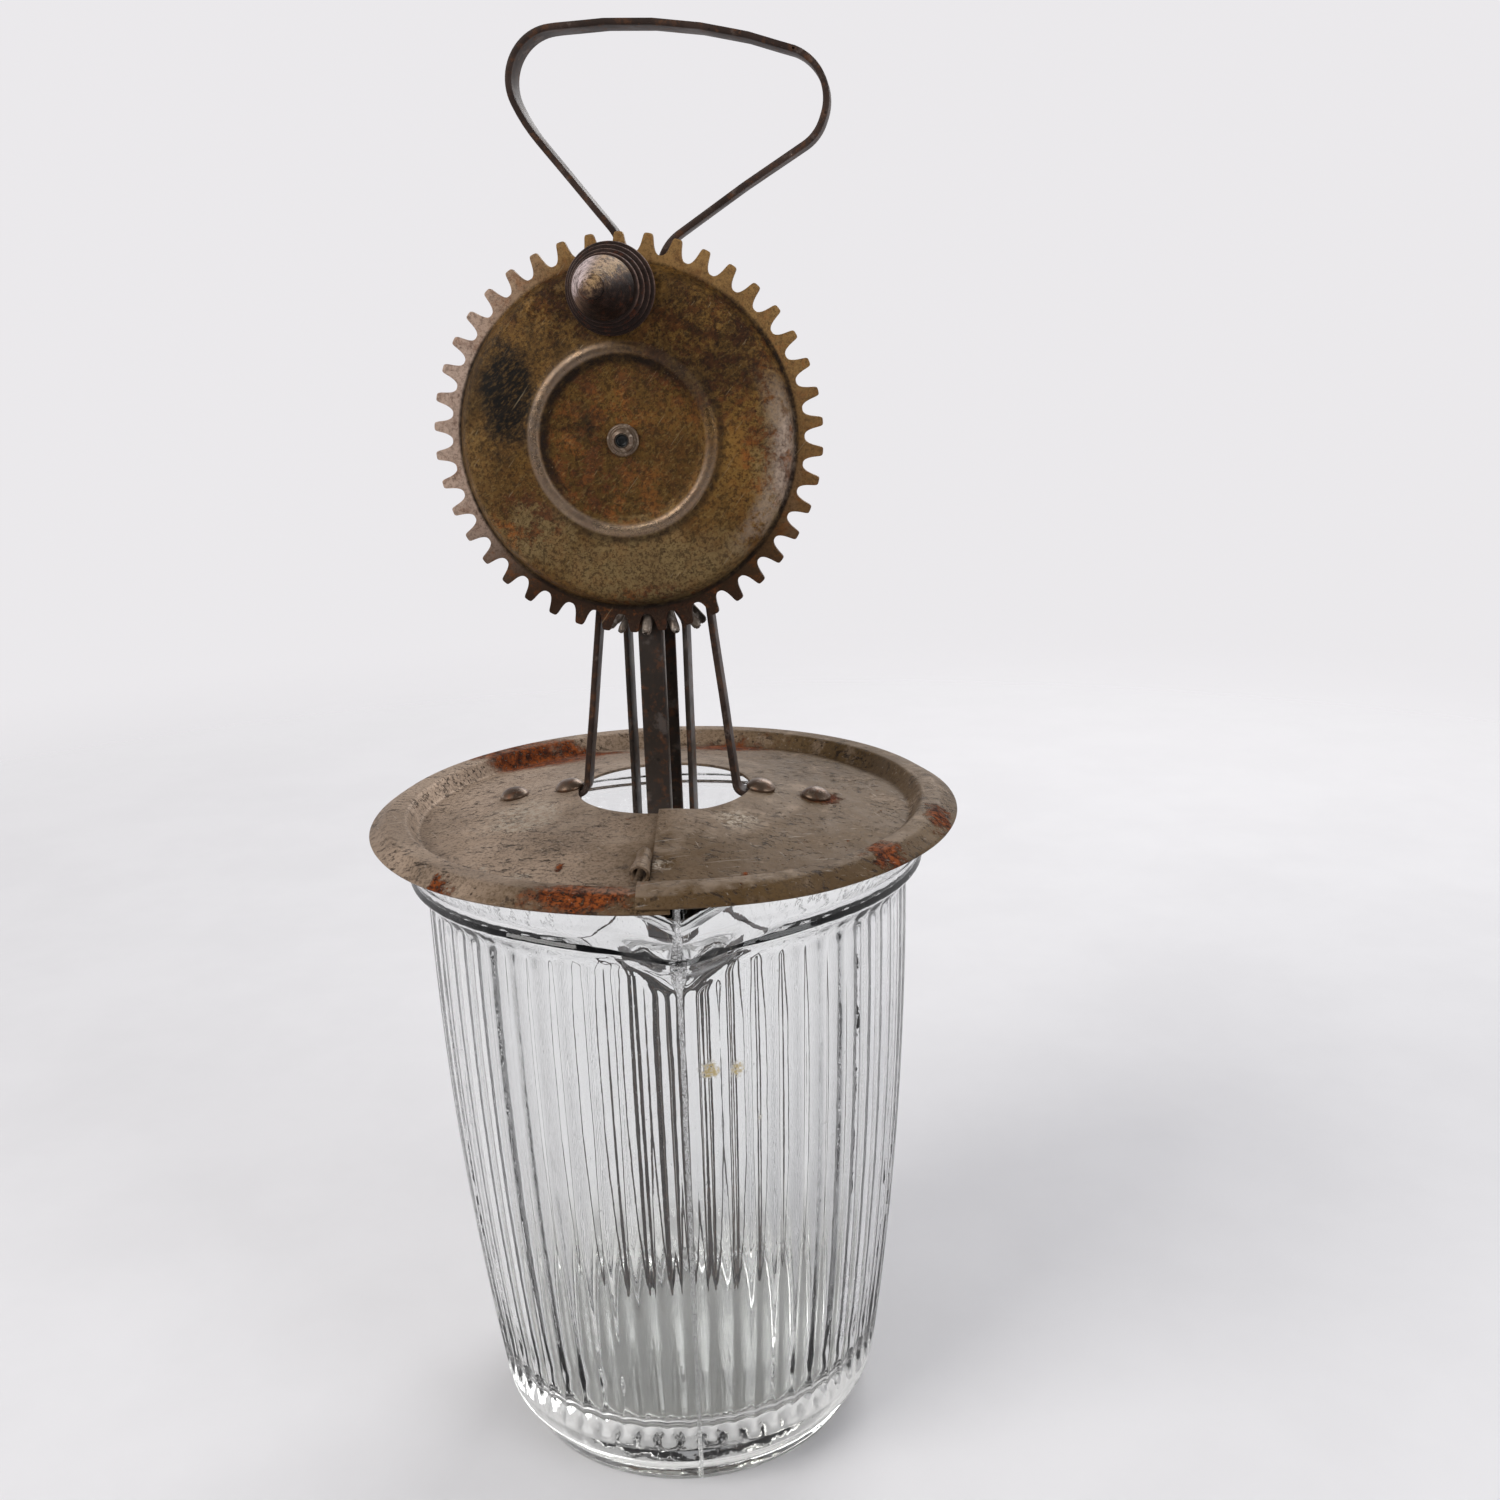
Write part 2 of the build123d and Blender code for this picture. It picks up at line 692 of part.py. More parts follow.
with BuildPart() as hub_washer:
    washer = ring_outline(axle_radius, hub_washer_radius, hub_face_back - washer_sheet, hub_face_back)
    add(turned(axle_x, -gear_offset, axle_height, washer))
hub_washer.part.label = "hub_washer"
export_step(hub_washer.part, "parts/hub_washer.step")

with BuildPart() as axle_bush:
    bore = axle_radius + running_fit
    spigot_front = bracket_front
    add(
        turned(
            axle_x,
            0,
            axle_height,
            [
                (bore, bush_front),
                (bush_radius, bush_front),
                (bush_radius, spigot_front),
                (bush_spigot_radius, spigot_front),
                (bush_spigot_radius, bush_back),
                (bore, bush_back),
            ],
    )
    )
axle_bush.part.label = "axle_bush"
export_step(axle_bush.part, "parts/axle_bush.step")

with BuildPart() as rear_washer:
    rear_high = bush_back - running_gap
    washer = ring_outline(axle_radius, bush_spigot_radius, rear_high - washer_sheet, rear_high)
    add(turned(axle_x, 0, axle_height, washer))
rear_washer.part.label = "rear_washer"
export_step(rear_washer.part, "parts/rear_washer.step")


# ================================================================ knob
knob_seat = gear_offset + crank_face_depth + knob_standoff
knob_base = knob_seat + washer_sheet + running_gap

with BuildPart() as knob_washer:
    add(
        turned(
            knob_x,
            0,
            knob_z,
            ring_outline(knob_pin_radius, knob_washer_radius, knob_seat, knob_seat + washer_sheet),
    )
    )
knob_washer.part.label = "knob_washer"
export_step(knob_washer.part, "parts/knob_washer.step")

with BuildPart() as crank_knob:
    knob_bore = knob_pin_radius + running_fit
    with BuildSketch(turning_plane(knob_x, -knob_base, knob_z)):
        with BuildLine():
            outline = [
                (knob_bore, 0),
                (knob_radius - 0.4, 0),
                (knob_radius, 0.5),
                (knob_radius, knob_base_ring),
            ]
            for ring_radius, ring_front in knob_rings:
                ring_back = outline[-1][1]
                outline.append((ring_radius - knob_ring_relief, ring_back + 0.3))
                outline.append((ring_radius, ring_back + 0.8))
                outline.append((ring_radius, ring_front))
            dome_top = knob_length - knob_pin_dome
            Polyline(*outline, (knob_dome_start[0] - 0.3, outline[-1][1] + 0.3), knob_dome_start)
            ThreePointArc(knob_dome_start, knob_dome_middle, (knob_pin_head, dome_top))
            Polyline((knob_pin_head, dome_top), (knob_bore, dome_top), (knob_bore, 0))
        make_face()
    revolve(axis=Axis((knob_x, 0, knob_z), (0, -1, 0)))
crank_knob.part.label = "crank_knob"
export_step(crank_knob.part, "parts/crank_knob.step")

with BuildPart() as knob_pin:
    pin_front = knob_base + knob_length - knob_pin_dome + running_gap
    pin_back = gear_offset + dish_depth - gear_sheet / 2 - 0.2
    head_cap = (knob_pin_head**2 + knob_pin_dome**2) / (2 * knob_pin_dome)
    with BuildSketch(turning_plane(knob_x, 0, knob_z)):
        with BuildLine():
            Polyline(
                (0, pin_back - knob_peen),
                (knob_peen_radius, pin_back - knob_peen),
                (knob_peen_radius, pin_back),
                (knob_pin_radius, pin_back),
                (knob_pin_radius, pin_front),
                (knob_pin_head, pin_front),
            )
            RadiusArc((knob_pin_head, pin_front), (0, pin_front + knob_pin_dome), -head_cap)
            Line((0, pin_front + knob_pin_dome), (0, pin_back - knob_peen))
        make_face()
    revolve(axis=Axis((knob_x, 0, knob_z), (0, -1, 0)))
knob_pin.part.label = "knob_pin"
export_step(knob_pin.part, "parts/knob_pin.step")


# ================================================================ pinion
with BuildPart() as pinion:
    with BuildSketch(Plane.XY.offset(plate_bottom)):
        Circle(pinion_plate_radius)
    extrude(amount=pinion_plate)
    slant = math.radians(finger_slant)
    along_finger = (0, -math.cos(slant), -math.sin(slant))
    finger_normal = (0, -math.sin(slant), math.cos(slant))
    finger_length = (gear_offset - finger_start) / math.cos(slant) + finger_reach
    finger_root = (0, -finger_start, plate_middle)
    finger_plane = Plane(origin=finger_root, x_dir=along_finger, z_dir=finger_normal)
    with BuildPart(mode=Mode.PRIVATE) as finger:
        with BuildSketch(finger_plane) as finger_face:
            with Locations((finger_length / 2 - finger_width / 4, 0)):
                SlotOverall(finger_length + finger_width / 2, finger_width)
        extrude(amount=finger_sheet / 2, both=True)
    with PolarLocations(0, finger_count, start_angle=pinion_phase):
        add(finger.part)
    with BuildSketch(Plane.XY.offset(plate_bottom - 5)):
        Circle(hub_radius)
    extrude(amount=10, mode=Mode.SUBTRACT)
pinion.part.label = "pinion"
export_step(pinion.part, "parts/pinion.step")

with BuildPart() as pinion_hub:
    add(
        turned_upright(
            [
                (bore_radius, hub_bottom),
                (hub_flange, hub_bottom),
                (hub_flange, plate_bottom - 2 * dasher_sheet),
                (hub_radius, plate_bottom - 2 * dasher_sheet),
                (hub_radius, plate_top),
                (hub_flange, plate_top),
                (hub_flange, hub_top),
                (bore_radius, hub_top),
            ]
    )
    )
pinion_hub.part.label = "pinion_hub"
export_step(pinion_hub.part, "parts/pinion_hub.step")


# ================================================================ dasher
def dasher_loop(bearing, top, bottom, reach):
    """Closed loop of flat strip: a narrow column above, a belly below, holes on the axis."""
    low_side = dasher_column + 1.0
    right = [
        (dasher_shoulder, top),
        (dasher_column, top - dasher_shoulder_drop),
        (dasher_column, dasher_flare_top),
        (reach, dasher_flare_bottom),
        (reach, dasher_belly),
        (toe_reach, dasher_toe),
        (low_side - 2, bottom),
    ]
    bends = [dasher_shoulder_bend, 4.0, dasher_bend, dasher_bend, dasher_bend, dasher_bend, 5.0]
    left = [(-x, z) for x, z in reversed(right)]
    with BuildLine(bearing_plane(bearing)) as path:
        FilletPolyline(
            (0, top),
            *right,
            (0, bottom),
            *left,
            close=True,
            radius=(0, *bends, 0, *reversed(bends)),
        )
    return path.wires()[0]


def strip_loop(bearing, top, bottom, reach):
    """Strip swept round one loop, with holes for the hub and the eyelet."""
    path = dasher_loop(bearing, top, bottom, reach)
    plane = bearing_plane(bearing)
    with BuildPart() as loop:
        with BuildSketch(Plane(origin=path @ 0, x_dir=plane.z_dir, z_dir=path % 0)):
            Rectangle(dasher_strip, dasher_sheet)
        sweep(path=path)
        for height, radius in ((top, hub_radius), (bottom, eyelet_radius)):
            with BuildSketch(Plane.XY.offset(height - 2)):
                Circle(radius)
            extrude(amount=4, mode=Mode.SUBTRACT)
    return loop.part


with BuildPart() as dasher_outer_loop:
    add(strip_loop(pinion_phase + 90, dasher_top, dasher_foot, outer_loop_reach))
dasher_outer_loop.part.label = "dasher_outer_loop"
export_step(dasher_outer_loop.part, "parts/dasher_outer_loop.step")

with BuildPart() as dasher_inner_loop:
    add(strip_loop(pinion_phase, dasher_top - dasher_sheet, dasher_foot + dasher_sheet, inner_loop_reach))
dasher_inner_loop.part.label = "dasher_inner_loop"
export_step(dasher_inner_loop.part, "parts/dasher_inner_loop.step")

with BuildPart() as dasher_eyelet:
    add(
        turned_upright(
            [
                (bore_radius, eyelet_bottom),
                (eyelet_flange, eyelet_bottom),
                (eyelet_flange, eyelet_bottom + eyelet_flange_height),
                (eyelet_radius, eyelet_bottom + eyelet_flange_height),
                (eyelet_radius, eyelet_top - eyelet_flange_height),
                (eyelet_flange, eyelet_top - eyelet_flange_height),
                (eyelet_flange, eyelet_top),
                (bore_radius, eyelet_top),
            ]
    )
    )
dasher_eyelet.part.label = "dasher_eyelet"
export_step(dasher_eyelet.part, "parts/dasher_eyelet.step")


# ================================================================ centre rod and its washers
with BuildPart() as center_rod:
    peen_bottom = shelf_top + washer_sheet
    add(
        turned_upright(
            [
                (0, rod_head_top - rod_head),
                (rod_head_radius - 0.8, rod_head_top - rod_head),
                (rod_head_radius, rod_head_top - 0.4),
                (rod_head_radius, rod_head_top),
                (rod_radius, rod_head_top),
                (rod_radius, peen_bottom),
                (rod_head_radius - 0.4, peen_bottom),
                (rod_head_radius - 1.0, peen_bottom + 0.9),
                (0, peen_bottom + 0.9),
            ]
    )
    )
center_rod.part.label = "center_rod"
export_step(center_rod.part, "parts/center_rod.step")

rod_washers = (
    ("rod_top_washer", shelf_top),
    ("thrust_washer", shelf_bottom - washer_sheet),
    ("foot_washer", rod_head_top),
)
for washer_name, washer_low in rod_washers:
    with BuildPart() as rod_washer:
        washer_high = washer_low + washer_sheet
        add(turned_upright(ring_outline(rod_radius, rod_washer_radius, washer_low, washer_high)))
    rod_washer.part.label = washer_name
    export_step(rod_washer.part, f"parts/{washer_name}.step")
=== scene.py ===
"""Looks for the hand-cranked jar mixer: fluted pressed glass, worn tin plate and brown steel.

Shapes are worked out in millimetres in the object's own frame and scaled once, in piece().
A bearing is an angle about Z, from the crank side (-Y) towards +X.
"""

import json
import math

import bmesh
import bpy
from mathutils import Matrix, Vector, noise

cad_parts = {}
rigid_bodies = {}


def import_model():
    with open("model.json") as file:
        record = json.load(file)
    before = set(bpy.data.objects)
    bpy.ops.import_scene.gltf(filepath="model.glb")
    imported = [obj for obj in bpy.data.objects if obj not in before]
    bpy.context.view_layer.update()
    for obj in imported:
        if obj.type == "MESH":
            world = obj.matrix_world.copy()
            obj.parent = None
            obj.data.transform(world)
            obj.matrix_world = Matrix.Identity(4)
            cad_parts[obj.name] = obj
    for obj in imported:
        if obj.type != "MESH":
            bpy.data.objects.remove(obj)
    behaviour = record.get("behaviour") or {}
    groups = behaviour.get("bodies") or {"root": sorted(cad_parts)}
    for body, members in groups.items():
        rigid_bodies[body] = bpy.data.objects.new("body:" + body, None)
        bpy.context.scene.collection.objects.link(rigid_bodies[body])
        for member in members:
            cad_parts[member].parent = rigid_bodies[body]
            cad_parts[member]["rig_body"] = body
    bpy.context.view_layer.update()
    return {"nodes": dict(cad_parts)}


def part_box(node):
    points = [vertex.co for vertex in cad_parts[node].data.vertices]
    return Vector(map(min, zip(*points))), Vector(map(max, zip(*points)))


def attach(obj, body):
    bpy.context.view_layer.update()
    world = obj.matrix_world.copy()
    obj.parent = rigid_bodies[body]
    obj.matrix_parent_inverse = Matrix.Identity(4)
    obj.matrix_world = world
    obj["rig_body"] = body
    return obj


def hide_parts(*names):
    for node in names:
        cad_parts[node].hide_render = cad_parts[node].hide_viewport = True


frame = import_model()

MM = 0.001
TO_CRANK_SIDE = (0, -1, 0)


# ---------- sizes from the frame
def node_box(node):
    """Lowest and highest corner of a CAD node, in millimetres."""
    low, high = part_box(node)
    return low / MM, high / MM


def node_middle(node):
    low, high = node_box(node)
    return (low + high) / 2


jar_height = node_box("glass_jar")[1].z
lid_radius = node_box("lid")[1].y
wheel_low, wheel_high = node_box("drive_gear")
axle_middle = node_middle("axle")
axle_x, axle_z = axle_middle.x, axle_middle.z
tip_radius = (wheel_high.z - wheel_low.z) / 2
knob_middle = node_middle("crank_knob")
knob_base = node_box("crank_knob")[1].y
knob_length = knob_base - node_box("knob_pin")[0].y
pin_tail = knob_base - node_box("knob_pin")[1].y
pinion_top = node_box("pinion")[1].z

# ---------- sizes of the looks
SPOUT_BEARING = 11.2
SEAM_BEARING = 5.5
PINION_PHASE = -3.0
TOOTH_COUNT = 42
FLUTE_COUNT = 60
FINGER_COUNT = 10
# radius and the two edges, forward from the knob's base, of each ring
KNOB_RINGS = ((8.4, 0.0, 1.35), (7.75, 1.7, 2.75), (6.95, 3.1, 4.5), (6.25, 4.85, 6.3))
# the same for the neck behind its dome
KNOB_NECK = (5.3, 6.75, 7.5)


# ---------- outlines
def rounded(corners, closed=False, step=10.0):
    """Points along straight runs joined by arcs. A corner is (x, y) or (x, y, radius)."""
    count = len(corners)
    points = []
    for index, corner in enumerate(corners):
        here = Vector(corner[:2])
        radius = corner[2] if len(corner) > 2 else 0
        at_end = not closed and index in (0, count - 1)
        if at_end or not radius:
            points.append(here)
            continue
        arriving = (Vector(corners[index - 1][:2]) - here).normalized()
        leaving = (Vector(corners[(index + 1) % count][:2]) - here).normalized()
        half = arriving.angle(leaving) / 2
        centre = here + (arriving + leaving).normalized() * radius / math.sin(half)
        start = here + arriving * radius / math.tan(half) - centre
        finish = here + leaving * radius / math.tan(half) - centre
        first = math.atan2(start.y, start.x)
        turn = (math.atan2(finish.y, finish.x) - first + math.pi) % math.tau - math.pi
        pieces = max(2, math.ceil(abs(math.degrees(turn)) / step))
        for piece_index in range(pieces + 1):
            angle = first + turn * piece_index / pieces
            points.append(centre + radius * Vector((math.cos(angle), math.sin(angle))))
    return points


def rounded_box(half_width, half_height, corner):
    x, y = half_width, half_height
    return rounded(
        [(-x, -y, corner), (x, -y, corner), (x, y, corner), (-x, y, corner)], closed=True, step=30
    )


def subdivided(points, longest):
    """The same outline with extra points on its long runs."""
    result = [points[0]]
    for start, finish in zip(points, points[1:]):
        pieces = max(1, math.ceil((finish - start).length / longest))
        result += [start.lerp(finish, n / pieces) for n in range(1, pieces + 1)]
    return result


def smooth_step(value, low, high):
    share = min(1.0, max(0.0, (value - low) / (high - low)))
    return share * share * (3 - 2 * share)


def between(value, table):
    """Straight-line reading of a table of (value, result)."""
    for (low, low_result), (high, high_result) in zip(table, table[1:]):
        if value <= high:
            share = max(0.0, (value - low) / (high - low))
            return low_result + (high_result - low_result) * share
    return table[-1][1]


def soft_max(one, other, blend):
    """The larger of two values, with the corner between them rounded."""
    overlap = max(0.0, blend - abs(one - other))
    return max(one, other) + overlap * overlap / (4 * blend)


# ---------- meshes
def add_object(name, data):
    obj = bpy.data.objects.new(name, data)
    bpy.context.scene.collection.objects.link(obj)
    return obj


def piece(name, points, faces, finish):
    """New object from points in millimetres, closed up, facing outwards and smooth."""
    mesh = bpy.data.meshes.new(name)
    mesh.from_pydata([Vector(p) * MM for p in points], [], faces)
    tidy = bmesh.new()
    tidy.from_mesh(mesh)
    bmesh.ops.remove_doubles(tidy, verts=tidy.verts, dist=0.002 * MM)
    bmesh.ops.recalc_face_normals(tidy, faces=tidy.faces)
    tidy.to_mesh(mesh)
    tidy.free()
    mesh.materials.append(finish)
    return shaded(add_object(name, mesh))


def shaded(obj, crease=38):
    """Smooth shading, with creases kept sharp."""
    for polygon in obj.data.polygons:
        polygon.use_smooth = True
    obj.data.set_sharp_from_angle(angle=math.radians(crease))
    return obj


def skin(name, rows, finish, round_about=True, along=False, caps=False):
    """Mesh over rows of points, with the same number of points in each."""
    width = len(rows[0])
    points = [point for row in rows for point in row]
    faces = []
    for row in range(len(rows) if along else len(rows) - 1):
        after = (row + 1) % len(rows)
        for place in range(width if round_about else width - 1):
            beside = (place + 1) % width
            near, far = row * width, after * width
            faces.append((near + place, near + beside, far + beside, far + place))
    if caps:
        faces.append(tuple(range(width)))
        faces.append(tuple(range(len(points) - width, len(points))))
    return piece(name, points, faces, finish)


def baked(obj):
    """Applies the modifiers of an object to its mesh."""
    bpy.context.view_layer.update()
    graph = bpy.context.evaluated_depsgraph_get()
    mesh = bpy.data.meshes.new_from_object(obj.evaluated_get(graph))
    obj.modifiers.clear()
    obj.data = mesh
    return shaded(obj)


def break_edges(obj, width, sharper_than):
    """Bevels the edges that are sharper than an angle, and applies the modifiers."""
    broken = obj.modifiers.new("edge", "BEVEL")
    broken.width = width * MM
    broken.segments = 2
    broken.limit_method = "ANGLE"
    broken.angle_limit = math.radians(sharper_than)
    return baked(obj)


def thickened(obj, thickness, edge, side):
    """Gives a sheet its thickness and breaks its cut edges."""
    sheet = obj.modifiers.new("sheet", "SOLIDIFY")
    sheet.thickness = thickness * MM
    sheet.offset = side
    sheet.use_even_offset = False
    return break_edges(obj, edge, 50)


def turned(name, outline, finish, centre=(0, 0, 0), facing=(0, 0, 1), segments=96):
    """Piece turned from an outline of (radius, forward) that starts and ends on the axis."""
    swing = Vector((0, 0, 1)).rotation_difference(Vector(facing)).to_matrix()
    angles = [math.tau * n / segments for n in range(segments)]
    rows = []
    for radius, forward in outline:
        row = [Vector((radius * math.cos(a), radius * math.sin(a), forward)) for a in angles]
        rows.append([Vector(centre) + swing @ point for point in row])
    on_axis = outline[0][0] == 0 and outline[-1][0] == 0
    return skin(name, rows, finish, along=not on_axis)


def strip(name, path, width, sheet, finish, place, closed=False):
    """Flat strip bent along a path of (across, up) points; place() puts them in space."""
    corner = min(0.42 * sheet, 0.45)
    half = (sheet / 2, width / 2)
    edges = rounded_box(*half, corner)
    rows = []
    count = len(path)
    for index, here in enumerate(path):
        before = path[index - 1] if closed or index else here
        after = path[(index + 1) % count] if closed or index < count - 1 else here
        along = (after - before).normalized()
        normal = Vector((along.y, -along.x))
        rows.append([place(here + normal * off, aside) for off, aside in edges])
    return skin(name, rows, finish, along=closed, caps=not closed)


def softened(node, finish, edge):
    """Copy of a CAD node with its edges broken, which then stands for the node."""
    mesh = frame["nodes"][node].data.copy()
    mesh.name = node + "_finished"
    merged = bmesh.new()
    merged.from_mesh(mesh)
    bmesh.ops.remove_doubles(merged, verts=merged.verts, dist=0.002 * MM)
    bmesh.ops.dissolve_limit(
        merged, angle_limit=math.radians(0.5), verts=merged.verts, edges=merged.edges
    )
    merged.to_mesh(mesh)
    merged.free()
    mesh.materials.clear()
    mesh.materials.append(finish)
    obj = break_edges(add_object(mesh.name, mesh), edge, 40)
    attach(obj, frame["nodes"][node]["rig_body"])
    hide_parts(node)


# ---------- node trees
class Output:
    """What a node gives, for use in sums and as the input of other nodes."""

    def __init__(self, nodes, socket):
        self.nodes = nodes
        self.socket = socket

    def sum(self, operation, one, other=0.0):
        return self.nodes.out(0, "ShaderNodeMath", (one, other), operation=operation)

    def __add__(self, other):
        return self.sum("ADD", self, other)

    def __sub__(self, other):
        return self.sum("SUBTRACT", self, other)

    def __rsub__(self, other):
        return self.sum("SUBTRACT", other, self)

    def __mul__(self, other):
        return self.sum("MULTIPLY", self, other)

    def __abs__(self):
        return self.sum("ABSOLUTE", self)

    def band(self, low, high, bottom=0.0, top=1.0):
        """Smooth ramp from low to high, clamped at both ends."""
        inputs = (self, low, high, bottom, top)
        return self.nodes.out(
            "Result", "ShaderNodeMapRange", inputs, interpolation_type="SMOOTHSTEP"
        )


def most(first, *others):
    """The largest of several outputs."""
    for other in others:
        first = first.sum("MAXIMUM", first, other)
    return first


class Nodes:
    """A node tree under way, with short names for adding to it."""

    def __init__(self, tree):
        self.tree = tree

    def node(self, kind, inputs=(), **settings):
        """New node. Its inputs are given in order or by name, as values or as outputs."""
        made = self.tree.nodes.new(kind)
        for key, value in settings.items():
            setattr(made, key, value)
        for key, value in inputs.items() if isinstance(inputs, dict) else enumerate(inputs):
            self.feed(made.inputs[key], value)
        return made

    def out(self, output, kind, inputs=(), **settings):
        """One output of a new node."""
        return Output(self, self.node(kind, inputs, **settings).outputs[output])

    def feed(self, socket, value):
        value = getattr(value, "socket", value)
        if isinstance(value, bpy.types.NodeSocket):
            self.tree.links.new(value, socket)
        elif isinstance(socket, bpy.types.NodeSocketColor):
            socket.default_value = (*value, 1)
        else:
            socket.default_value = value

    def mix(self, share, one, other):
        """Blend of two colours."""
        inputs = {0: share, 6: one, 7: other}
        return self.out(2, "ShaderNodeMix", inputs, data_type="RGBA", clamp_factor=True)


# ---------- repeated pieces
def repeated(name, model, places, finish):
    """One mesh of copies of a model, each placed by (point, outward, turn)."""
    points = bpy.data.meshes.new(name + "_places")
    points.from_pydata([Vector(point) * MM for point, outward, turn in places], [], [])
    points.attributes.new("outward", "FLOAT_VECTOR", "POINT")
    points.attributes.new("turn", "FLOAT", "POINT")
    for index, (point, outward, turn) in enumerate(places):
        points.attributes["outward"].data[index].vector = Vector(outward)
        points.attributes["turn"].data[index].value = math.radians(turn)

    tree = bpy.data.node_groups.new(name + "_copies", "GeometryNodeTree")
    tree.is_modifier = True
    sockets = {
        label: tree.interface.new_socket(label, in_out=way, socket_type="NodeSocket" + kind)
        for label, way, kind in (
            ("Places", "INPUT", "Geometry"),
            ("Model", "INPUT", "Object"),
            ("Size", "INPUT", "Float"),
            ("Finish", "INPUT", "Material"),
            ("Copies", "OUTPUT", "Geometry"),
        )
    }
    nodes = Nodes(tree)
    given = nodes.node("NodeGroupInput").outputs
    shape = nodes.out("Geometry", "GeometryNodeObjectInfo", {"Object": given["Model"]})
    outward, turn = (
        nodes.out("Attribute", "GeometryNodeInputNamedAttribute", {"Name": label}, data_type=kind)
        for label, kind in (("outward", "FLOAT_VECTOR"), ("turn", "FLOAT"))
    )
    aim = nodes.out("Rotation", "FunctionNodeAlignRotationToVector", {"Vector": outward}, axis="Z")
    spin = nodes.out(
        "Rotation", "FunctionNodeAxisAngleToRotation", {"Axis": (0, 0, 1), "Angle": turn}
    )
    rotation = nodes.out(
        "Rotation", "FunctionNodeRotateRotation", {"Rotation": aim, "Rotate By": spin},
        rotation_space="LOCAL",
    )
    inputs = {
        "Points": given["Places"], "Instance": shape, "Rotation": rotation, "Scale": given["Size"],
    }
    copies = nodes.out("Instances", "GeometryNodeInstanceOnPoints", inputs)
    real = nodes.out("Geometry", "GeometryNodeRealizeInstances", (copies,))
    inputs = {"Geometry": real, "Material": given["Finish"]}
    coated = nodes.out("Geometry", "GeometryNodeSetMaterial", inputs)
    nodes.node("NodeGroupOutput", {"Copies": coated})

    obj = add_object(name, points)
    copier = obj.modifiers.new("copies", "NODES")
    copier.node_group = tree
    for label, value in (("Model", model), ("Size", 1.0), ("Finish", finish)):
        copier[sockets[label].identifier] = value
    baked(obj)
    bpy.data.objects.remove(model)
    return obj


# ---------- finishes
class Finish(Nodes):
    """A material under way, laid on in coats."""

    def __init__(self, name):
        self.material = bpy.data.materials.new(name)
        self.material.use_nodes = True
        super().__init__(self.material.node_tree)
        self.place = self.out("Object", "ShaderNodeTexCoord")
        self.colour = None

    def shifted(self, stretch=(1, 1, 1), shift=(0, 0, 0), turn=(0, 0, 0)):
        """Object coordinates moved by shift (mm), turned (degrees) and drawn out along an axis."""
        inputs = {
            "Vector": self.place,
            "Location": [v * MM for v in shift],
            "Rotation": [math.radians(v) for v in turn],
            "Scale": stretch,
        }
        return self.out("Vector", "ShaderNodeMapping", inputs, vector_type="TEXTURE")

    def noise(self, grain, detail=4.0, rough=0.55, stretch=(1, 1, 1), warp=0.0, **moved):
        """Cloudy pattern with patches about `grain` millimetres across."""
        inputs = {
            "Vector": self.shifted(stretch, **moved),
            "Scale": 1 / (grain * MM),
            "Detail": detail,
            "Roughness": rough,
            "Distortion": warp,
        }
        return self.out("Fac", "ShaderNodeTexNoise", inputs)

    def specks(self, grain, shift=(0, 0, 0)):
        """Distance to scattered points about `grain` millimetres apart, as a share of it."""
        inputs = {"Vector": self.shifted(shift=shift), "Scale": 1 / (grain * MM)}
        return self.out("Distance", "ShaderNodeTexVoronoi", inputs)

    def vector(self, operation, one, other=None, output="Vector"):
        inputs = (one,) if other is None else (one, other)
        return self.out(output, "ShaderNodeVectorMath", inputs, operation=operation)

    def apart(self, point, stretch=(1, 1, 1)):
        """Distance in millimetres from a point given in millimetres."""
        offset = self.vector("SUBTRACT", self.place, [v * MM for v in point])
        offset = self.vector("MULTIPLY", offset, [v / MM for v in stretch])
        return self.vector("LENGTH", offset, output="Value")

    def patch(self, point, radius, ragged, grain=3.0, stretch=(1, 1, 1)):
        """Ragged patch round a point, in millimetres."""
        rough_edge = (self.noise(grain, 6, 0.7) - 0.5) * (ragged * 4)
        reach = self.apart(point, stretch) + rough_edge
        return reach.band(radius * 1.15, radius * 0.6)

    def patches(self, *rows):
        return [self.patch(*row) for row in rows]

    def part(self, axis):
        """One coordinate, in millimetres."""
        return self.out(axis, "ShaderNodeSeparateXYZ", (self.place,)) * (1 / MM)

    def coat(self, mask, colour):
        """Lays a colour over what is there, where the mask is."""
        self.colour = self.mix(mask, self.colour, colour)

    def bump(self, height, depth, below=None):
        """Relief of `depth` millimetres."""
        inputs = {"Distance": depth * MM, "Height": height}
        if below is not None:
            inputs["Normal"] = below
        return self.out("Normal", "ShaderNodeBump", inputs)

    def done(self, **sockets):
        shader = self.tree.nodes["Principled BSDF"]
        self.feed(shader.inputs["Base Color"], self.colour)
        for name, value in sockets.items():
            self.feed(shader.inputs[name.replace("_", " ")], value)
        return self.material


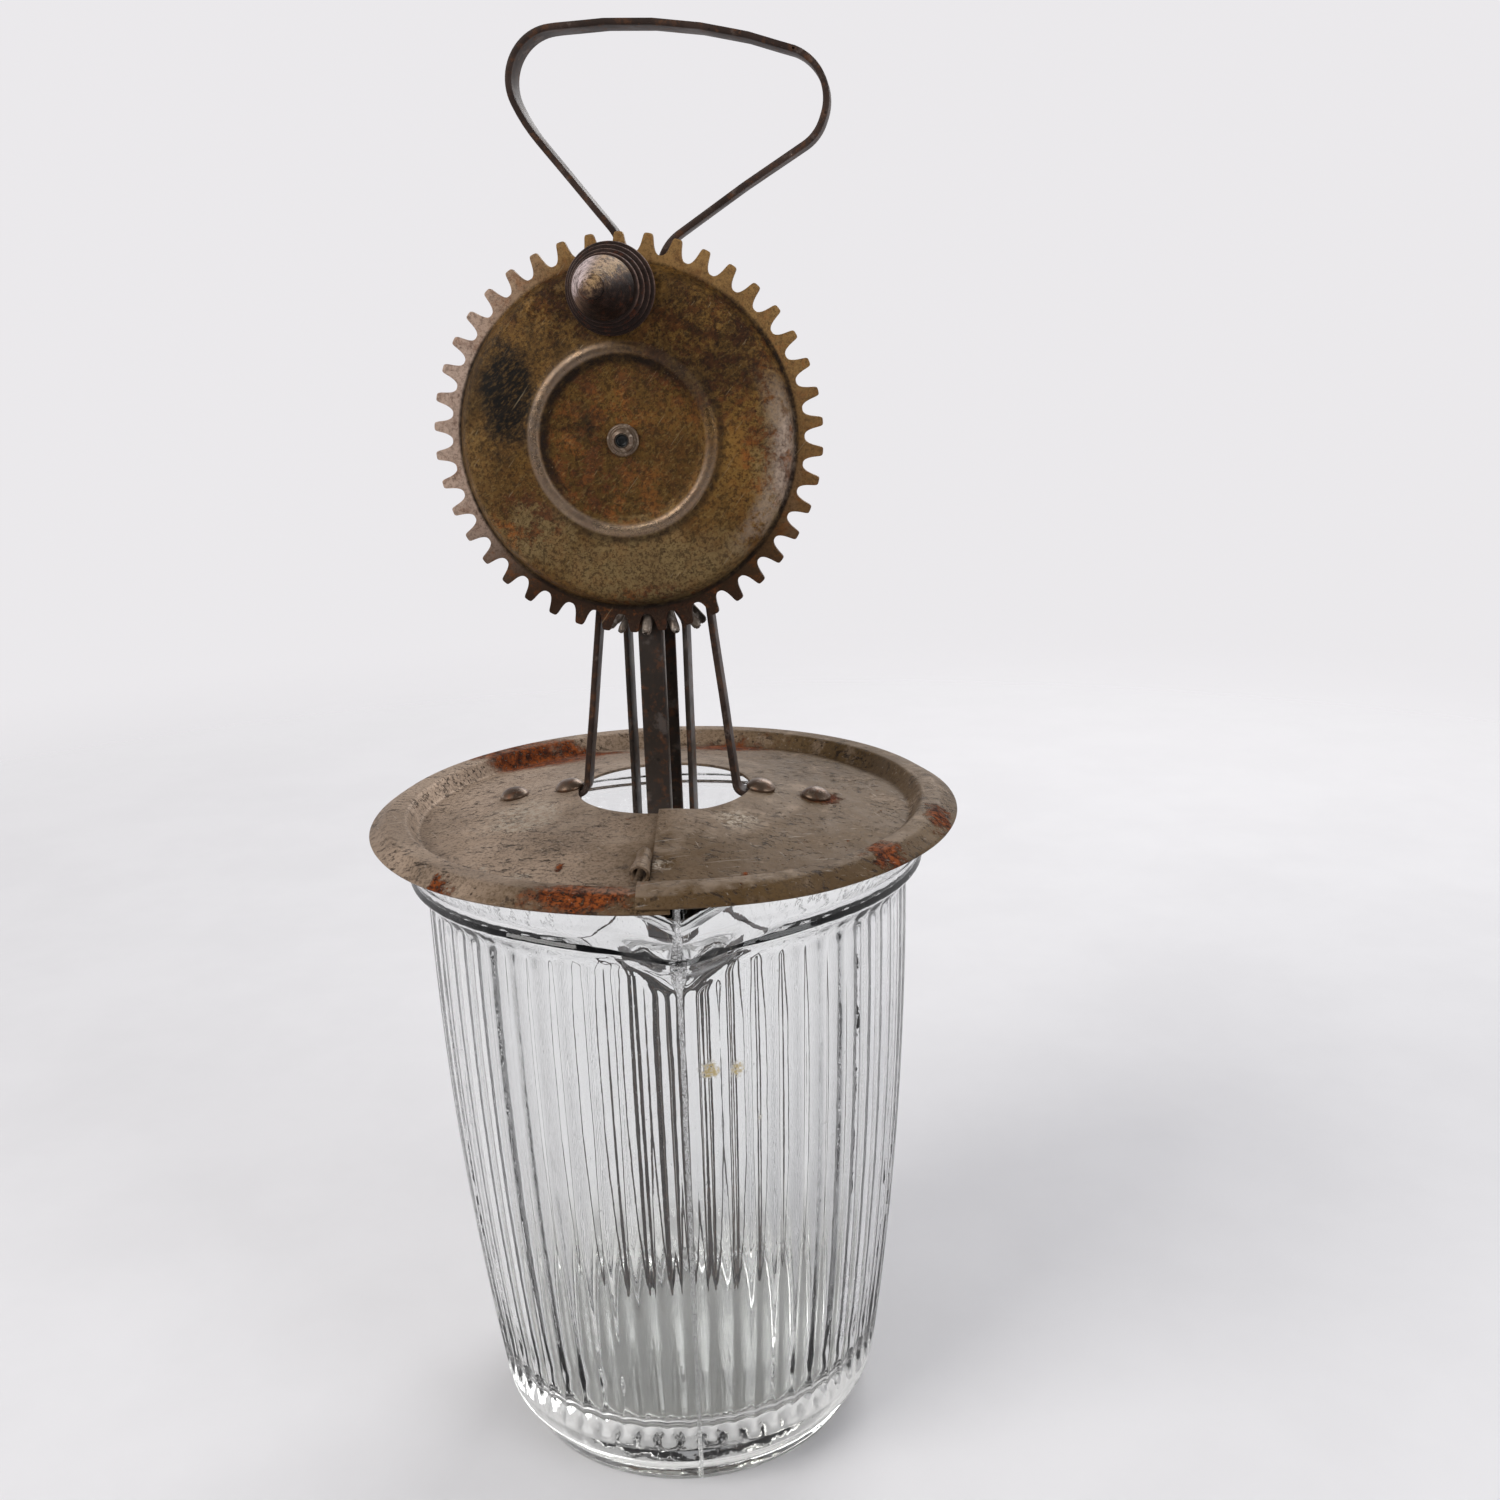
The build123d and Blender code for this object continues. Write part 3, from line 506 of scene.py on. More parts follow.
def tin_plate():
    """Worn tin plate of the lid: grey-brown, scuffed and speckled, with rust at rim and seam, and
    partly painted light on its paler left side.
    """
    tin = Finish("tin_plate")
    cloud = tin.noise(26, 5, 0.6)
    smudge = tin.noise(7, 6, 0.65, shift=(5, 9, 0))
    grain = tin.noise(0.8, 8, 0.85)
    # paler on the left, browner and olive on the right and towards the rim: partly the tin's own
    # tone, partly painted light from the left
    side = (tin.part(0) + smudge * 22).band(-16, 42)
    tin.colour = tin.mix(side, (0.42, 0.31, 0.225), (0.12, 0.07, 0.026))
    tin.coat(cloud.band(0.4, 0.62, 0.0, 0.5), (0.13, 0.085, 0.05))
    tin.coat(smudge.band(0.53, 0.64, 0.0, 0.4), (0.38, 0.28, 0.2))
    tin.coat(grain.band(0.49, 0.57, 0.0, 0.6), (0.06, 0.038, 0.02))
    stain = most(*tin.patches(
        ((10, -36, 139), 13, 3.5, 7),
        ((46, -36, 139), 16, 4, 8),
        ((0, -58, 139), 16, 4, 8, (0.5, 1.4, 1)),
    ))
    tin.coat(stain * 0.65, (0.085, 0.046, 0.014))
    # paler dry patches and scuffs
    pale = most(*tin.patches(
        ((17, -18, 140), 5, 2, 4),
        ((-21, -42, 139), 3.4, 2.8, 1.6, (1, 2, 1)),
        ((-29, -39, 139), 2.4, 2.8, 1.3, (2, 1, 1)),
        ((-27, -14, 140), 9, 4, 6),
        ((5.4, -40.3, 139), 2.4, 1.4, 1.2),
    ))
    chalk = tin.noise(1.1, 6, 0.75, shift=(1, 4, 2)).band(0.44, 0.58)
    tin.coat(pale * chalk * 0.75, (0.44, 0.38, 0.3))
    # orange-brown rust, crusted in patches and crumbled elsewhere
    rust_grain = tin.noise(0.8, 6, 0.8).band(0.34, 0.46, 0.25, 1.0)
    rust = most(*tin.patches(
        ((-41, 35, 139.5), 13, 3, 3, (0.62, 1.5, 1)),
        ((-26, 41, 139.5), 8, 3, 3, (0.7, 1.9, 1)),
        ((8, 46, 139.5), 7, 3, 3, (0.62, 1.3, 1)),
        ((-6, -57, 139.5), 8, 3.0, 2.5, (0.75, 1.9, 1)),
        ((-2.5, -51, 137.5), 5.5, 2.0, 2, (0.75, 1.4, 1)),
        ((21.5, -42.7, 139), 1.9, 1.1, 1.5, (1.7, 0.6, 1)),
        ((-14, -40, 139), 1.5, 1.2, 1.2, (1.6, 0.7, 1)),
        ((-34, -50, 139), 3, 3, 3),
        ((57, -12, 139), 5, 3.4, 3, (1.8, 0.8, 1)),
        ((47, -34, 139), 4, 3.4, 3),
        ((33, 0, 140), 4.2, 2.6, 1.6),
    ))
    crumb_zone = tin.noise(15, 4, 0.6, shift=(4, 2, 9)).band(0.5, 0.62)
    crumbs = tin.noise(1.5, 5, 0.75, shift=(8, 1, 3)).band(0.62, 0.67) * crumb_zone
    rust = most(rust * rust_grain, crumbs * 0.8)
    rust_mottle = tin.noise(1.6, 5, 0.75).band(0.38, 0.62)
    tin.coat(rust, tin.mix(rust_mottle, (0.04, 0.008, 0.003), (0.25, 0.062, 0.013)))
    # dark flecks that run round the rim, pits and fingermarks
    flecks = tin.noise(1.3, 6, 0.75, (2.2, 0.8, 1), turn=(0, 0, -14)).band(0.565, 0.605)
    flecks = flecks * tin.noise(19, 3, 0.6, shift=(3, 3, 3)).band(0.44, 0.54)
    pits = tin.specks(1.7, (3, 1, 0)).band(0.2, 0.1) * tin.noise(9, 3).band(0.46, 0.58)
    dirt = tin.noise(3.4, 7, 0.8, shift=(2, 0, 7)).band(0.58, 0.64) * 0.75
    dark = most(flecks * 0.9, pits * 0.85, dirt)
    tin.coat(dark, (0.03, 0.018, 0.011))
    # fine scratches in two directions
    scratch = most(
        tin.noise(0.5, 2, 0.5, (25, 1, 1), turn=(0, 0, 24)).band(0.67, 0.72),
        tin.noise(0.5, 2, 0.5, (20, 1, 1), turn=(0, 0, -57)).band(0.69, 0.74),
    )
    tin.coat(scratch * 0.4, (0.45, 0.38, 0.31))
    # worn bright on the rim's crest
    crest = tin.part(2).band(139.75, 140.1) * smudge.band(0.42, 0.6)
    tin.coat(crest * 0.4, (0.36, 0.28, 0.21))
    relief = tin.bump(tin.noise(11, 3, 0.5), 0.45)
    relief = tin.bump(rust * rust_grain * 1.6 - dark, 0.13, relief)
    return tin.done(
        Metallic=most(rust, dark * 0.7).band(0.1, 0.7, 0.3, 0.0),
        Roughness=smudge.band(0.3, 0.75, 0.5, 0.64) + rust * 0.3,
        Specular_IOR_Level=0.15,
        Normal=tin.bump(most(scratch, grain * 0.6), 0.04, relief),
    )


def wheel_steel():
    """Dished crank wheel: olive-bronze steel, brushed, rusty in the dish, worn on its bead, with
    painted light, shade and highlights over the face.
    """
    steel = Finish("wheel_steel")

    def on_face(x, z):
        """Point of the wheel's face, measured from the axle."""
        return (axle_x + x, wheel_low.y, axle_z + z)

    reach = steel.apart(on_face(0, 0), (1, 0, 1))
    cloud = steel.noise(15, 5, 0.65, warp=0.4)
    hatch = steel.noise(0.5, 5, 0.75, (3, 1, 1), turn=(0, -38, 0))
    fine = steel.noise(0.8, 8, 0.85)
    mottle = steel.noise(3.6, 8, 0.8, shift=(4, 2, 1))
    across = steel.part(0) - axle_x
    up = steel.part(2) - axle_z
    lean = up - across
    rise = up + across
    # painted light and shade: brighter towards the top, paler at the left edge and darker inside
    # the bead
    painted_light_slope = up + across * 0.1
    steel.colour = steel.mix(painted_light_slope.band(-22, 30), (0.12, 0.064, 0.018), (0.5, 0.255, 0.06))
    steel.coat(across.band(-22, -31, 0.0, 0.6), (0.26, 0.16, 0.06))
    steel.coat(cloud.band(0.42, 0.58, 0.0, 0.65), (0.1, 0.05, 0.013))
    steel.coat(reach.band(17, 14, 0.0, 0.7), (0.085, 0.044, 0.011))
    # painted highlights: paler patches on the lower part and the shoulder's right side
    painted_highlight_patches = most(*steel.patches(
        (on_face(4, -24), 13, 5, 7, (0.7, 0, 1.3)),
        (on_face(29, -5), 9, 4, 5, (2.0, 0, 0.6)),
        (on_face(-18, -18), 8, 4, 5),
    ))
    steel.coat(painted_highlight_patches * 0.5, (0.29, 0.21, 0.1))
    # painted highlight: a broad soft sheen on the shoulder's right side
    painted_shoulder_sheen = steel.patch(on_face(31, -7), 6, 2.5, 4, (2.4, 0, 0.42))
    steel.coat(painted_shoulder_sheen * 0.8, (0.4, 0.3, 0.24))
    # brown-red mottling, strongest inside the bead and at the upper right
    rusty_zone = most(
        reach.band(17.5, 14.5) * across.band(12, -5, 0.35, 0.9),
        *steel.patches(
            (on_face(22, 17), 17, 5, 6, (0.8, 0, 1.0)),
            (on_face(27, -3), 7, 4, 4, (1.3, 0, 0.8)),
            (on_face(-10, 26), 10, 5, 6, (0.7, 0, 1.2)),
            (on_face(-20, -15), 7, 4, 5),
            (on_face(6, -33), 8, 4, 4, (0.5, 0, 1.6)),
        ),
        0.22,
    )
    rusty = mottle.band(0.46, 0.55) * rusty_zone
    rust_colour = steel.mix(cloud.band(0.42, 0.58), (0.22, 0.065, 0.01), (0.085, 0.022, 0.006))
    steel.coat(rusty * 0.85, rust_colour)
    # soot and painted shade: darker in the hollow left of the bead, round the axle and at the lower
    # edge
    soot_and_shade_cloud = (steel.noise(6, 7, 0.75, shift=(2, 8, 3)) - 0.5) * 18
    hollow = steel.apart(on_face(-22, 9), (1.35, 0, 0.72)) + soot_and_shade_cloud
    beside = steel.apart(on_face(-7, 4), (1, 0, 0.9)) + soot_and_shade_cloud
    low_edge = steel.apart(on_face(1, -40), (0.42, 0, 1.25)) + soot_and_shade_cloud
    soot_and_shade = most(
        hollow.band(13.5, 4.5),
        beside.band(5.5, 0.5, 0.0, 0.75),
        reach.band(12.5, 16.0) * steel.part(2).band(axle_z - 8, axle_z + 14) * 0.6,
        low_edge.band(17, 5, 0.0, 0.85),
    )
    # dark grain over the whole face, brushed through in one direction
    steel.coat(fine.band(0.48, 0.55, 0.0, 0.7), (0.022, 0.011, 0.004))
    steel.coat(hatch.band(0.53, 0.62, 0.0, 0.25), (0.33, 0.22, 0.085))
    spots = steel.noise(1.5, 6, 0.8, shift=(7, 7, 1)).band(0.61, 0.65) * 0.85
    steel.coat(spots, (0.03, 0.01, 0.005))
    # soot and painted shade, broken up by the brushing
    steel.coat(soot_and_shade * hatch.band(0.66, 0.45, 0.7, 1.0), (0.004, 0.003, 0.002))
    # flat toothed ring, with painted light and shade: pale grey on the left, brown above, nearly
    # black below
    ring = steel.mix(up.band(-20, 30), (0.17, 0.09, 0.034), (0.3, 0.17, 0.06))
    for mask, colour in (
        (across.band(-8, -33), (0.52, 0.38, 0.3)),
        (up.band(-8, -31), (0.03, 0.014, 0.008)),
        (mottle.band(0.5, 0.6) * 0.45, rust_colour),
        (fine.band(0.48, 0.58, 0.0, 0.5), (0.05, 0.026, 0.012)),
    ):
        ring = steel.mix(mask, ring, colour)
    steel.coat(reach.band(32.4, 33.2) * 0.92, ring)
    # painted highlights over a little wear: greyer on the bead, dimmest at its upper right, and on
    # the dish shoulder's right side
    bead = reach.band(15.6, 16.4) * reach.band(18.6, 17.8)
    shoulder = reach.band(26.5, 29.5) * reach.band(33.0, 31.4) * across.band(14, 24)
    shoulder = shoulder * up.band(15, 4) * up.band(-25, -14) * mottle.band(0.6, 0.46)
    worn = most(bead * rise.band(22, 6, 0.1, 0.4), shoulder * 0.45)
    steel.coat(worn, (0.42, 0.32, 0.25))
    # dirt and painted shade in the grooves: inside the bead above, outside it below, and at the
    # foot of the shoulder
    groove = most(
        reach.band(13.9, 15.0) * reach.band(16.3, 15.6) * lean.band(-6, 12),
        reach.band(17.8, 18.6) * reach.band(20.2, 19.0) * lean.band(8, -14) * 0.75,
        reach.band(31.9, 32.5) * reach.band(33.4, 32.9) * lean.band(18, -10),
        reach.band(32.1, 32.5) * reach.band(33.2, 32.7) * rise.band(4, -14),
    )
    steel.coat(groove * mottle.band(0.35, 0.6, 0.45, 0.95), (0.01, 0.006, 0.004))
    scratch = steel.noise(0.4, 2, 0.5, (30, 1, 1), turn=(0, -52, 0)).band(0.7, 0.74)
    steel.coat(scratch * 0.3, (0.4, 0.3, 0.18))
    relief = steel.bump(steel.noise(9, 3, 0.5), 0.55)
    relief = steel.bump(hatch - most(rusty, spots), 0.07, relief)
    return steel.done(
        Metallic=most(most(rusty, soot_and_shade).band(0.2, 0.9, 0.35, 0.0), bead * 0.85),
        Roughness=cloud.band(0.3, 0.7, 0.4, 0.5) + rusty * 0.2 - bead * 0.18,
        Specular_IOR_Level=0.15,
        Normal=steel.bump(fine, 0.05, relief),
    )


def brown_steel(
    name, dark, warm, bare, rust_share=0.35, bare_share=0.3, rough=0.42, metal=0.75, grain=2.0,
    hollow=None, relief=1.0, sheen=0.5,
):
    """Oxidised steel: dark skin, warm rust bloom and bare metal worn through in places.

    A hollow is the (x, z, radius) of a punched end that faces the crank side, coloured nearly
    black.
    """
    steel = Finish(name)
    cloud = steel.noise(grain * 4, 5, 0.6)
    mottle = steel.noise(grain, 6, 0.7, shift=(3, 1, 8))
    steel.colour = steel.mix(cloud.band(0.35, 0.65), dark, tuple(0.6 * part for part in dark))
    bloom = mottle.band(0.5, 0.66) * (rust_share * 2)
    steel.coat(bloom, warm)
    worn = steel.noise(grain * 1.7, 6, 0.65, shift=(9, 4, 2)).band(0.54, 0.68)
    steel.coat(worn * (bare_share * 2), bare)
    pits = steel.specks(grain).band(0.17, 0.07) * 0.8
    steel.coat(pits, tuple(0.3 * part for part in dark))
    if hollow:
        x, z, radius = hollow
        # the punched end is coloured nearly black
        dirt = steel.apart((x, 0, z), (1, 0, 1)).band(radius * 1.1, radius * 0.8)
        steel.coat(dirt, (0.006, 0.007, 0.007))
    surface = steel.bump(cloud, 0.18 * relief)
    return steel.done(
        Metallic=metal,
        Roughness=cloud.band(0.3, 0.7, rough - 0.06, rough + 0.08) + bloom * 0.15,
        Specular_IOR_Level=sheen,
        Normal=steel.bump(mottle - pits, 0.07 * relief, surface),
    )


def knob_iron():
    """Dark iron knob: purplish brown, mottled, worn to bronze on its dome, with painted light and
    shade on the dome and below.
    """
    iron = Finish("knob_iron")
    mottle = iron.noise(1.5, 8, 0.8)
    blotch = iron.noise(4.0, 5, 0.7)
    fine = iron.noise(0.8, 8, 0.85)
    forward = knob_base - iron.part(1)
    across = iron.part(0) - knob_middle.x
    up = iron.part(2) - knob_middle.z
    iron.colour = iron.mix(blotch.band(0.4, 0.6), (0.24, 0.15, 0.12), (0.1, 0.055, 0.04))
    iron.coat(mottle.band(0.5, 0.58, 0.0, 0.5), (0.3, 0.19, 0.14))
    # painted shade: darker below the knob's middle
    iron.coat(up.band(1, -6, 0.0, 0.85), (0.025, 0.012, 0.01))
    # darker in the grooves between the rings
    grooves = [
        abs(forward - (one[2] + other[1]) / 2).band(0.55, 0.25)
        for one, other in zip(KNOB_RINGS, (*KNOB_RINGS[1:], KNOB_NECK))
    ]
    iron.coat(most(*grooves) * 0.9, (0.012, 0.006, 0.004))
    # painted light and shade on the dome: a grey highlight above and to the left, bronze towards
    # the right between, black below
    lean = up - across * 0.7 + (mottle - 0.5) * 11
    dome = iron.mix(lean.band(-2.6, 0.6), (0.008, 0.004, 0.003), (0.16, 0.095, 0.06))
    dome = iron.mix(lean.band(0.8, 3.2), dome, (0.7, 0.56, 0.54))
    bronze = lean.band(-1.0, 1.0) * across.band(-2.0, 1.0) * 0.85
    dome = iron.mix(bronze, dome, (0.48, 0.31, 0.15))
    smut = iron.noise(2.0, 8, 0.85, shift=(2, 5, 7)).band(0.5, 0.57, 0.0, 0.85)
    dome = iron.mix(smut, dome, (0.05, 0.026, 0.018))
    iron.coat(forward.band(6.7, 7.3), dome)
    crust = iron.noise(2.2, 7, 0.75, shift=(6, 3, 1)).band(0.56, 0.62, 0.0, 0.8)
    iron.coat(crust, (0.07, 0.02, 0.008))
    iron.coat(fine.band(0.5, 0.57, 0.0, 0.6), (0.012, 0.006, 0.005))
    relief = iron.bump(blotch, 0.3)
    return iron.done(
        Metallic=0.1,
        Roughness=mottle.band(0.35, 0.7, 0.45, 0.65),
        Specular_IOR_Level=0.15,
        Normal=iron.bump(mottle + fine * 0.5, 0.16, relief),
    )


def clear_glass():
    """Old pressed glass: faint green-grey, wavy, with fine scratches and a raised mould seam."""
    glass = Finish("clear_glass")
    wave = glass.noise(9, 2, 0.5, (1, 1, 2.2))
    ripple = glass.noise(2.6, 3, 0.5, (1, 1, 2))
    scratch = glass.noise(0.35, 2, 0.5, (1, 1, 22), turn=(14, 9, 0)).band(0.72, 0.76)
    # the mould seam runs down the middle flute of the spout
    bearing = math.radians(SPOUT_BEARING)
    aside = (math.cos(bearing) / MM, math.sin(bearing) / MM, 0)
    across = glass.vector("DOT_PRODUCT", glass.place, aside, "Value")
    offset = abs(across + glass.noise(6, 2) * 0.5)
    seam = offset.band(0.5, 0.25) * glass.part(1).band(-20, -30)
    beads = seam * glass.noise(0.9, 3, 0.6).band(0.35, 0.65)
    # dried deposits and a milky bloom inside the wall
    crumble = glass.noise(0.6, 4, 0.7).band(0.36, 0.55)
    deposit = most(*glass.patches(
        ((13.8, -46.8, 101.2), 2.2, 0.9, 0.9),
        ((18.6, -45.0, 100.6), 1.9, 0.9, 0.8),
        ((22.2, -43.2, 89.6), 1.1, 0.6, 0.6),
    ))
    deposit = deposit * crumble
    bloom = most(*glass.patches(
        ((-46, -14, 84), 15, 6, 7, (1, 1, 0.7)),
        ((-42, -22, 38), 12, 6, 6),
        ((40, -22, 34), 9, 5, 5),
    ))
    bloom = bloom * glass.noise(2.4, 6, 0.7).band(0.42, 0.64)
    relief = glass.bump(ripple, 0.03, glass.bump(wave, 0.2))
    # thick glass of the base has a faint straw tint
    base = glass.part(2).band(30, 8)
    glass.colour = glass.mix(base, (0.955, 0.962, 0.958), (0.93, 0.938, 0.9))
    glass.coat(deposit, (0.5, 0.38, 0.16))
    return glass.done(
        Roughness=scratch * 0.12 + (deposit * 0.6 + bloom * 0.12) + 0.012,
        Transmission_Weight=1.0 - (deposit * 0.75 + bloom * 0.1),
        IOR=1.5,
        Normal=glass.bump(beads - scratch * 0.1, 0.2, relief),
    )


TIN = tin_plate()
WHEEL = wheel_steel()
KNOB = knob_iron()
GLASS = clear_glass()
STRIP = brown_steel(
    "dark_strip", (0.05, 0.032, 0.025), (0.105, 0.046, 0.022), (0.16, 0.12, 0.1), 0.35, 0.25, 0.5,
    metal=0.0, relief=0.08, sheen=0.12,
)
RIVET = brown_steel(
    "steel_rivets", (0.15, 0.1, 0.068), (0.14, 0.05, 0.022), (0.36, 0.29, 0.22), 0.3, 0.35, 0.36,
    grain=1.3,
)
BARE = brown_steel(
    "bright_steel", (0.17, 0.14, 0.115), (0.12, 0.06, 0.03), (0.4, 0.36, 0.32), 0.2, 0.3, 0.34
)
AXLE = brown_steel(
    "axle_steel", (0.17, 0.115, 0.075), (0.1, 0.045, 0.022), (0.5, 0.4, 0.31), 0.3, 0.35, 0.32,
    metal=0.35, grain=0.9, hollow=(axle_x, axle_z, 1.35),
)
FINGER = brown_steel(
    "pinion_steel", (0.26, 0.21, 0.17), (0.1, 0.045, 0.022), (0.55, 0.48, 0.42), 0.2, 0.45, 0.35,
    metal=0.5, grain=1.2,
)
DASHER = brown_steel(
    "dasher_steel", (0.042, 0.03, 0.023), (0.1, 0.04, 0.017), (0.16, 0.13, 0.115), 0.45, 0.2, 0.45,
    metal=0.2, grain=2.6, relief=0.2, sheen=0.3,
)


# ---------- glass jar
BODY_RADIUS = 50.4
HEEL = (42.2, 8.5)
SHOULDER_HEIGHT = 123.5
LIP_RADIUS = 57.0
GLASS_WALL = 3.3
GLASS_FLOOR = 14.0
MOUTH = (53.7, 136.5)
RIM_TOP = 139.1
FLUTE_RADIUS = 3.9
FLUTE_DEPTH = 0.62
FLUTE_BOTTOM = 11.5
FLUTE_TOP = 122.2
NECK_BEAD = 127.9
SPOUT_NOSE = ((117.0, 49.8), (121.0, 53.2), (127.0, 57.9), (130.0, 58.8), (jar_height, 61.0))
SPOUT_WING = ((117.0, 6.0), (128.5, 25.0), (jar_height, 36.0))
SPOUT_ROOT = 44.0


def wall_radius(height):
    fall = (SHOULDER_HEIGHT - height) / (SHOULDER_HEIGHT - HEEL[1])
    return BODY_RADIUS - (BODY_RADIUS - HEEL[0]) * fall * fall


def spout_radius(height, bearing, inset):
    """Radius of the spout's flat V at a bearing from its nose, or 0 where it has none."""
    level = height - inset
    if level < SPOUT_NOSE[0][0] or abs(bearing) > math.radians(40):
        return 0.0
    nose = between(level, SPOUT_NOSE) - inset
    if not inset:
        nose += 0.6 * max(0.0, 1 - abs(level - NECK_BEAD) / 0.9)
    wing = between(level, SPOUT_WING) - inset
    blunt = math.radians(1.3)
    slope = math.tan(math.hypot(bearing, blunt) - 0.75 * blunt)
    share = nose * slope / (wing + (nose - SPOUT_ROOT) * slope)
    if share > 1:
        return 0.0
    return (nose - (nose - SPOUT_ROOT) * share) / math.cos(bearing)


def fluted(radius, height, bearing):
    """Radius of the wall where a rounded cutter has run up it, or the radius as it is."""
    near_spout = smooth_step(abs(bearing), math.radians(4), math.radians(14))
    top = FLUTE_TOP - 5.5 * (1 - near_spout)
    depth = FLUTE_DEPTH * smooth_step(height, FLUTE_BOTTOM, FLUTE_BOTTOM + 8)
    pitch = math.tau / FLUTE_COUNT
    off = (bearing + pitch / 2) % pitch - pitch / 2
    aside = abs(off) * radius
    beyond = max(0.0, height - top)
    room = FLUTE_RADIUS**2 - aside**2 - beyond**2
    if room <= 0 or depth <= 0:
        return radius
    cutter = wall_radius(min(height, top)) + FLUTE_RADIUS - depth
    return min(radius, cutter - math.sqrt(room)) if cutter + math.sqrt(room) > radius else radius


def jar_levels():
    """Profile of the jar from under its foot, up the outside and down the inside again.

    Each level is (radius, height, side), where side is foot, wall, lip or inside.
    """
    foot = rounded([
        (0, 1.9), (31.5, 1.4, 3), (33.4, 0, 1.0), (37.6, 0, 1.1),
        (38.5, 3.9, 1.6), (42.0, 8.0, 2.5), (42.6, 11.0),
    ], step=18)
    levels = [(p.x, p.y, "foot") for p in foot]
    heights = [11.4 + 0.45 * n for n in range(12)]
    heights += [18 + 2.75 * n for n in range(36)]
    heights += [116.5 + 0.5 * n for n in range(14)]
    levels += [(wall_radius(z), z, "wall") for z in heights]
    lip = rounded([
        (50.4, 123.6), (51.5, 126.7, 2.0), (53.2, NECK_BEAD - 0.8, 0.3),
        (53.8, NECK_BEAD, 0.4), (53.2, NECK_BEAD + 0.9, 0.4), (53.4, 130.6, 2.5),
        (LIP_RADIUS, 136.3, 2.5), (LIP_RADIUS, RIM_TOP, 0.9), (53.9, RIM_TOP, 0.9), MOUTH,
    ], step=15)
    levels += [(p.x, p.y, "lip") for p in subdivided(lip, 0.8)]
    throat = Vector((BODY_RADIUS - GLASS_WALL, SHOULDER_HEIGHT))
    levels += [(p.x, p.y, "inside") for p in subdivided([Vector(MOUTH), throat], 1.2)[1:]]
    heights = [SHOULDER_HEIGHT - 4.2 * n for n in range(1, 24)]
    levels += [(wall_radius(z) - GLASS_WALL, z, "inside") for z in heights]
    corner = wall_radius(22.0) - GLASS_WALL
    floor = rounded([(corner, 25.0), (corner - 0.3, GLASS_FLOOR, 7.6), (0, GLASS_FLOOR)], step=9)
    levels += [(p.x, p.y, "inside") for p in floor]
    return levels


def jar_point(radius, height, side, bearing):
    """Point of the jar at a bearing measured from the spout's nose."""
    if radius == 0:
        return Vector((0, 0, height))
    plain = radius
    if side in ("wall", "lip"):
        radius = fluted(radius, height, bearing)
    if side in ("wall", "lip", "inside") and height > 112:
        inset = GLASS_WALL if side == "inside" else 0.0
        inner_lip = side == "lip" and radius < 55.4 and height > 136
        inset = GLASS_WALL if inner_lip else inset
        spout = spout_radius(height, bearing, inset)
        if spout:
            radius = soft_max(radius, spout, 1.2)
    pushed = max(0.0, radius - plain)
    top = jar_height - 1.05 * pushed
    height = min(height, top) if height > 130 else height
    if side in ("wall", "lip"):
        dip = 1.5 * (1 - smooth_step(abs(bearing), 0, math.radians(34)))
        height -= dip * smooth_step(height, 121, 127) * (1 - smooth_step(height, 129, 136))
    angle = bearing + math.radians(SPOUT_BEARING - 90)
    return Vector((radius * math.cos(angle), radius * math.sin(angle), height))


def make_jar():
    turns = [math.tau * n / (FLUTE_COUNT * 10) for n in range(FLUTE_COUNT * 10)]
    turns = [turn - math.tau if turn > math.pi else turn for turn in turns]
    rows = [[jar_point(*level, turn) for turn in turns] for level in jar_levels()]
    jar = skin("fluted_glass_jar", rows, GLASS)
    shaded(jar, 80)
    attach(jar, "jar")
    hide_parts("glass_jar")


# ---------- lid
SHEET = 0.6
OPENING_RADIUS = 18.1
CORNER = (51.2, 136.7)
CONE_RISE = 5.2
LID_PROFILE = (
    (OPENING_RADIUS, CORNER[1] + CONE_RISE),
    (*CORNER, 0.9),
    (53.5, 140.0, 1.3),
    (57.4, 140.0, 2.6),
    (lid_radius, 137.6),
)
# the seam: degrees of lap, and how far the upper layer lies above the lower one
LAP = 4.2
LAP_LIFT = 0.95
DIMPLE_RADIUS = 40.6
DIMPLE_DEPTH = 1.1


def lid_height(radius):
    """Height of the cone's top face."""
    share = (CORNER[0] - radius) / (CORNER[0] - OPENING_RADIUS)
    return CORNER[1] + CONE_RISE * share


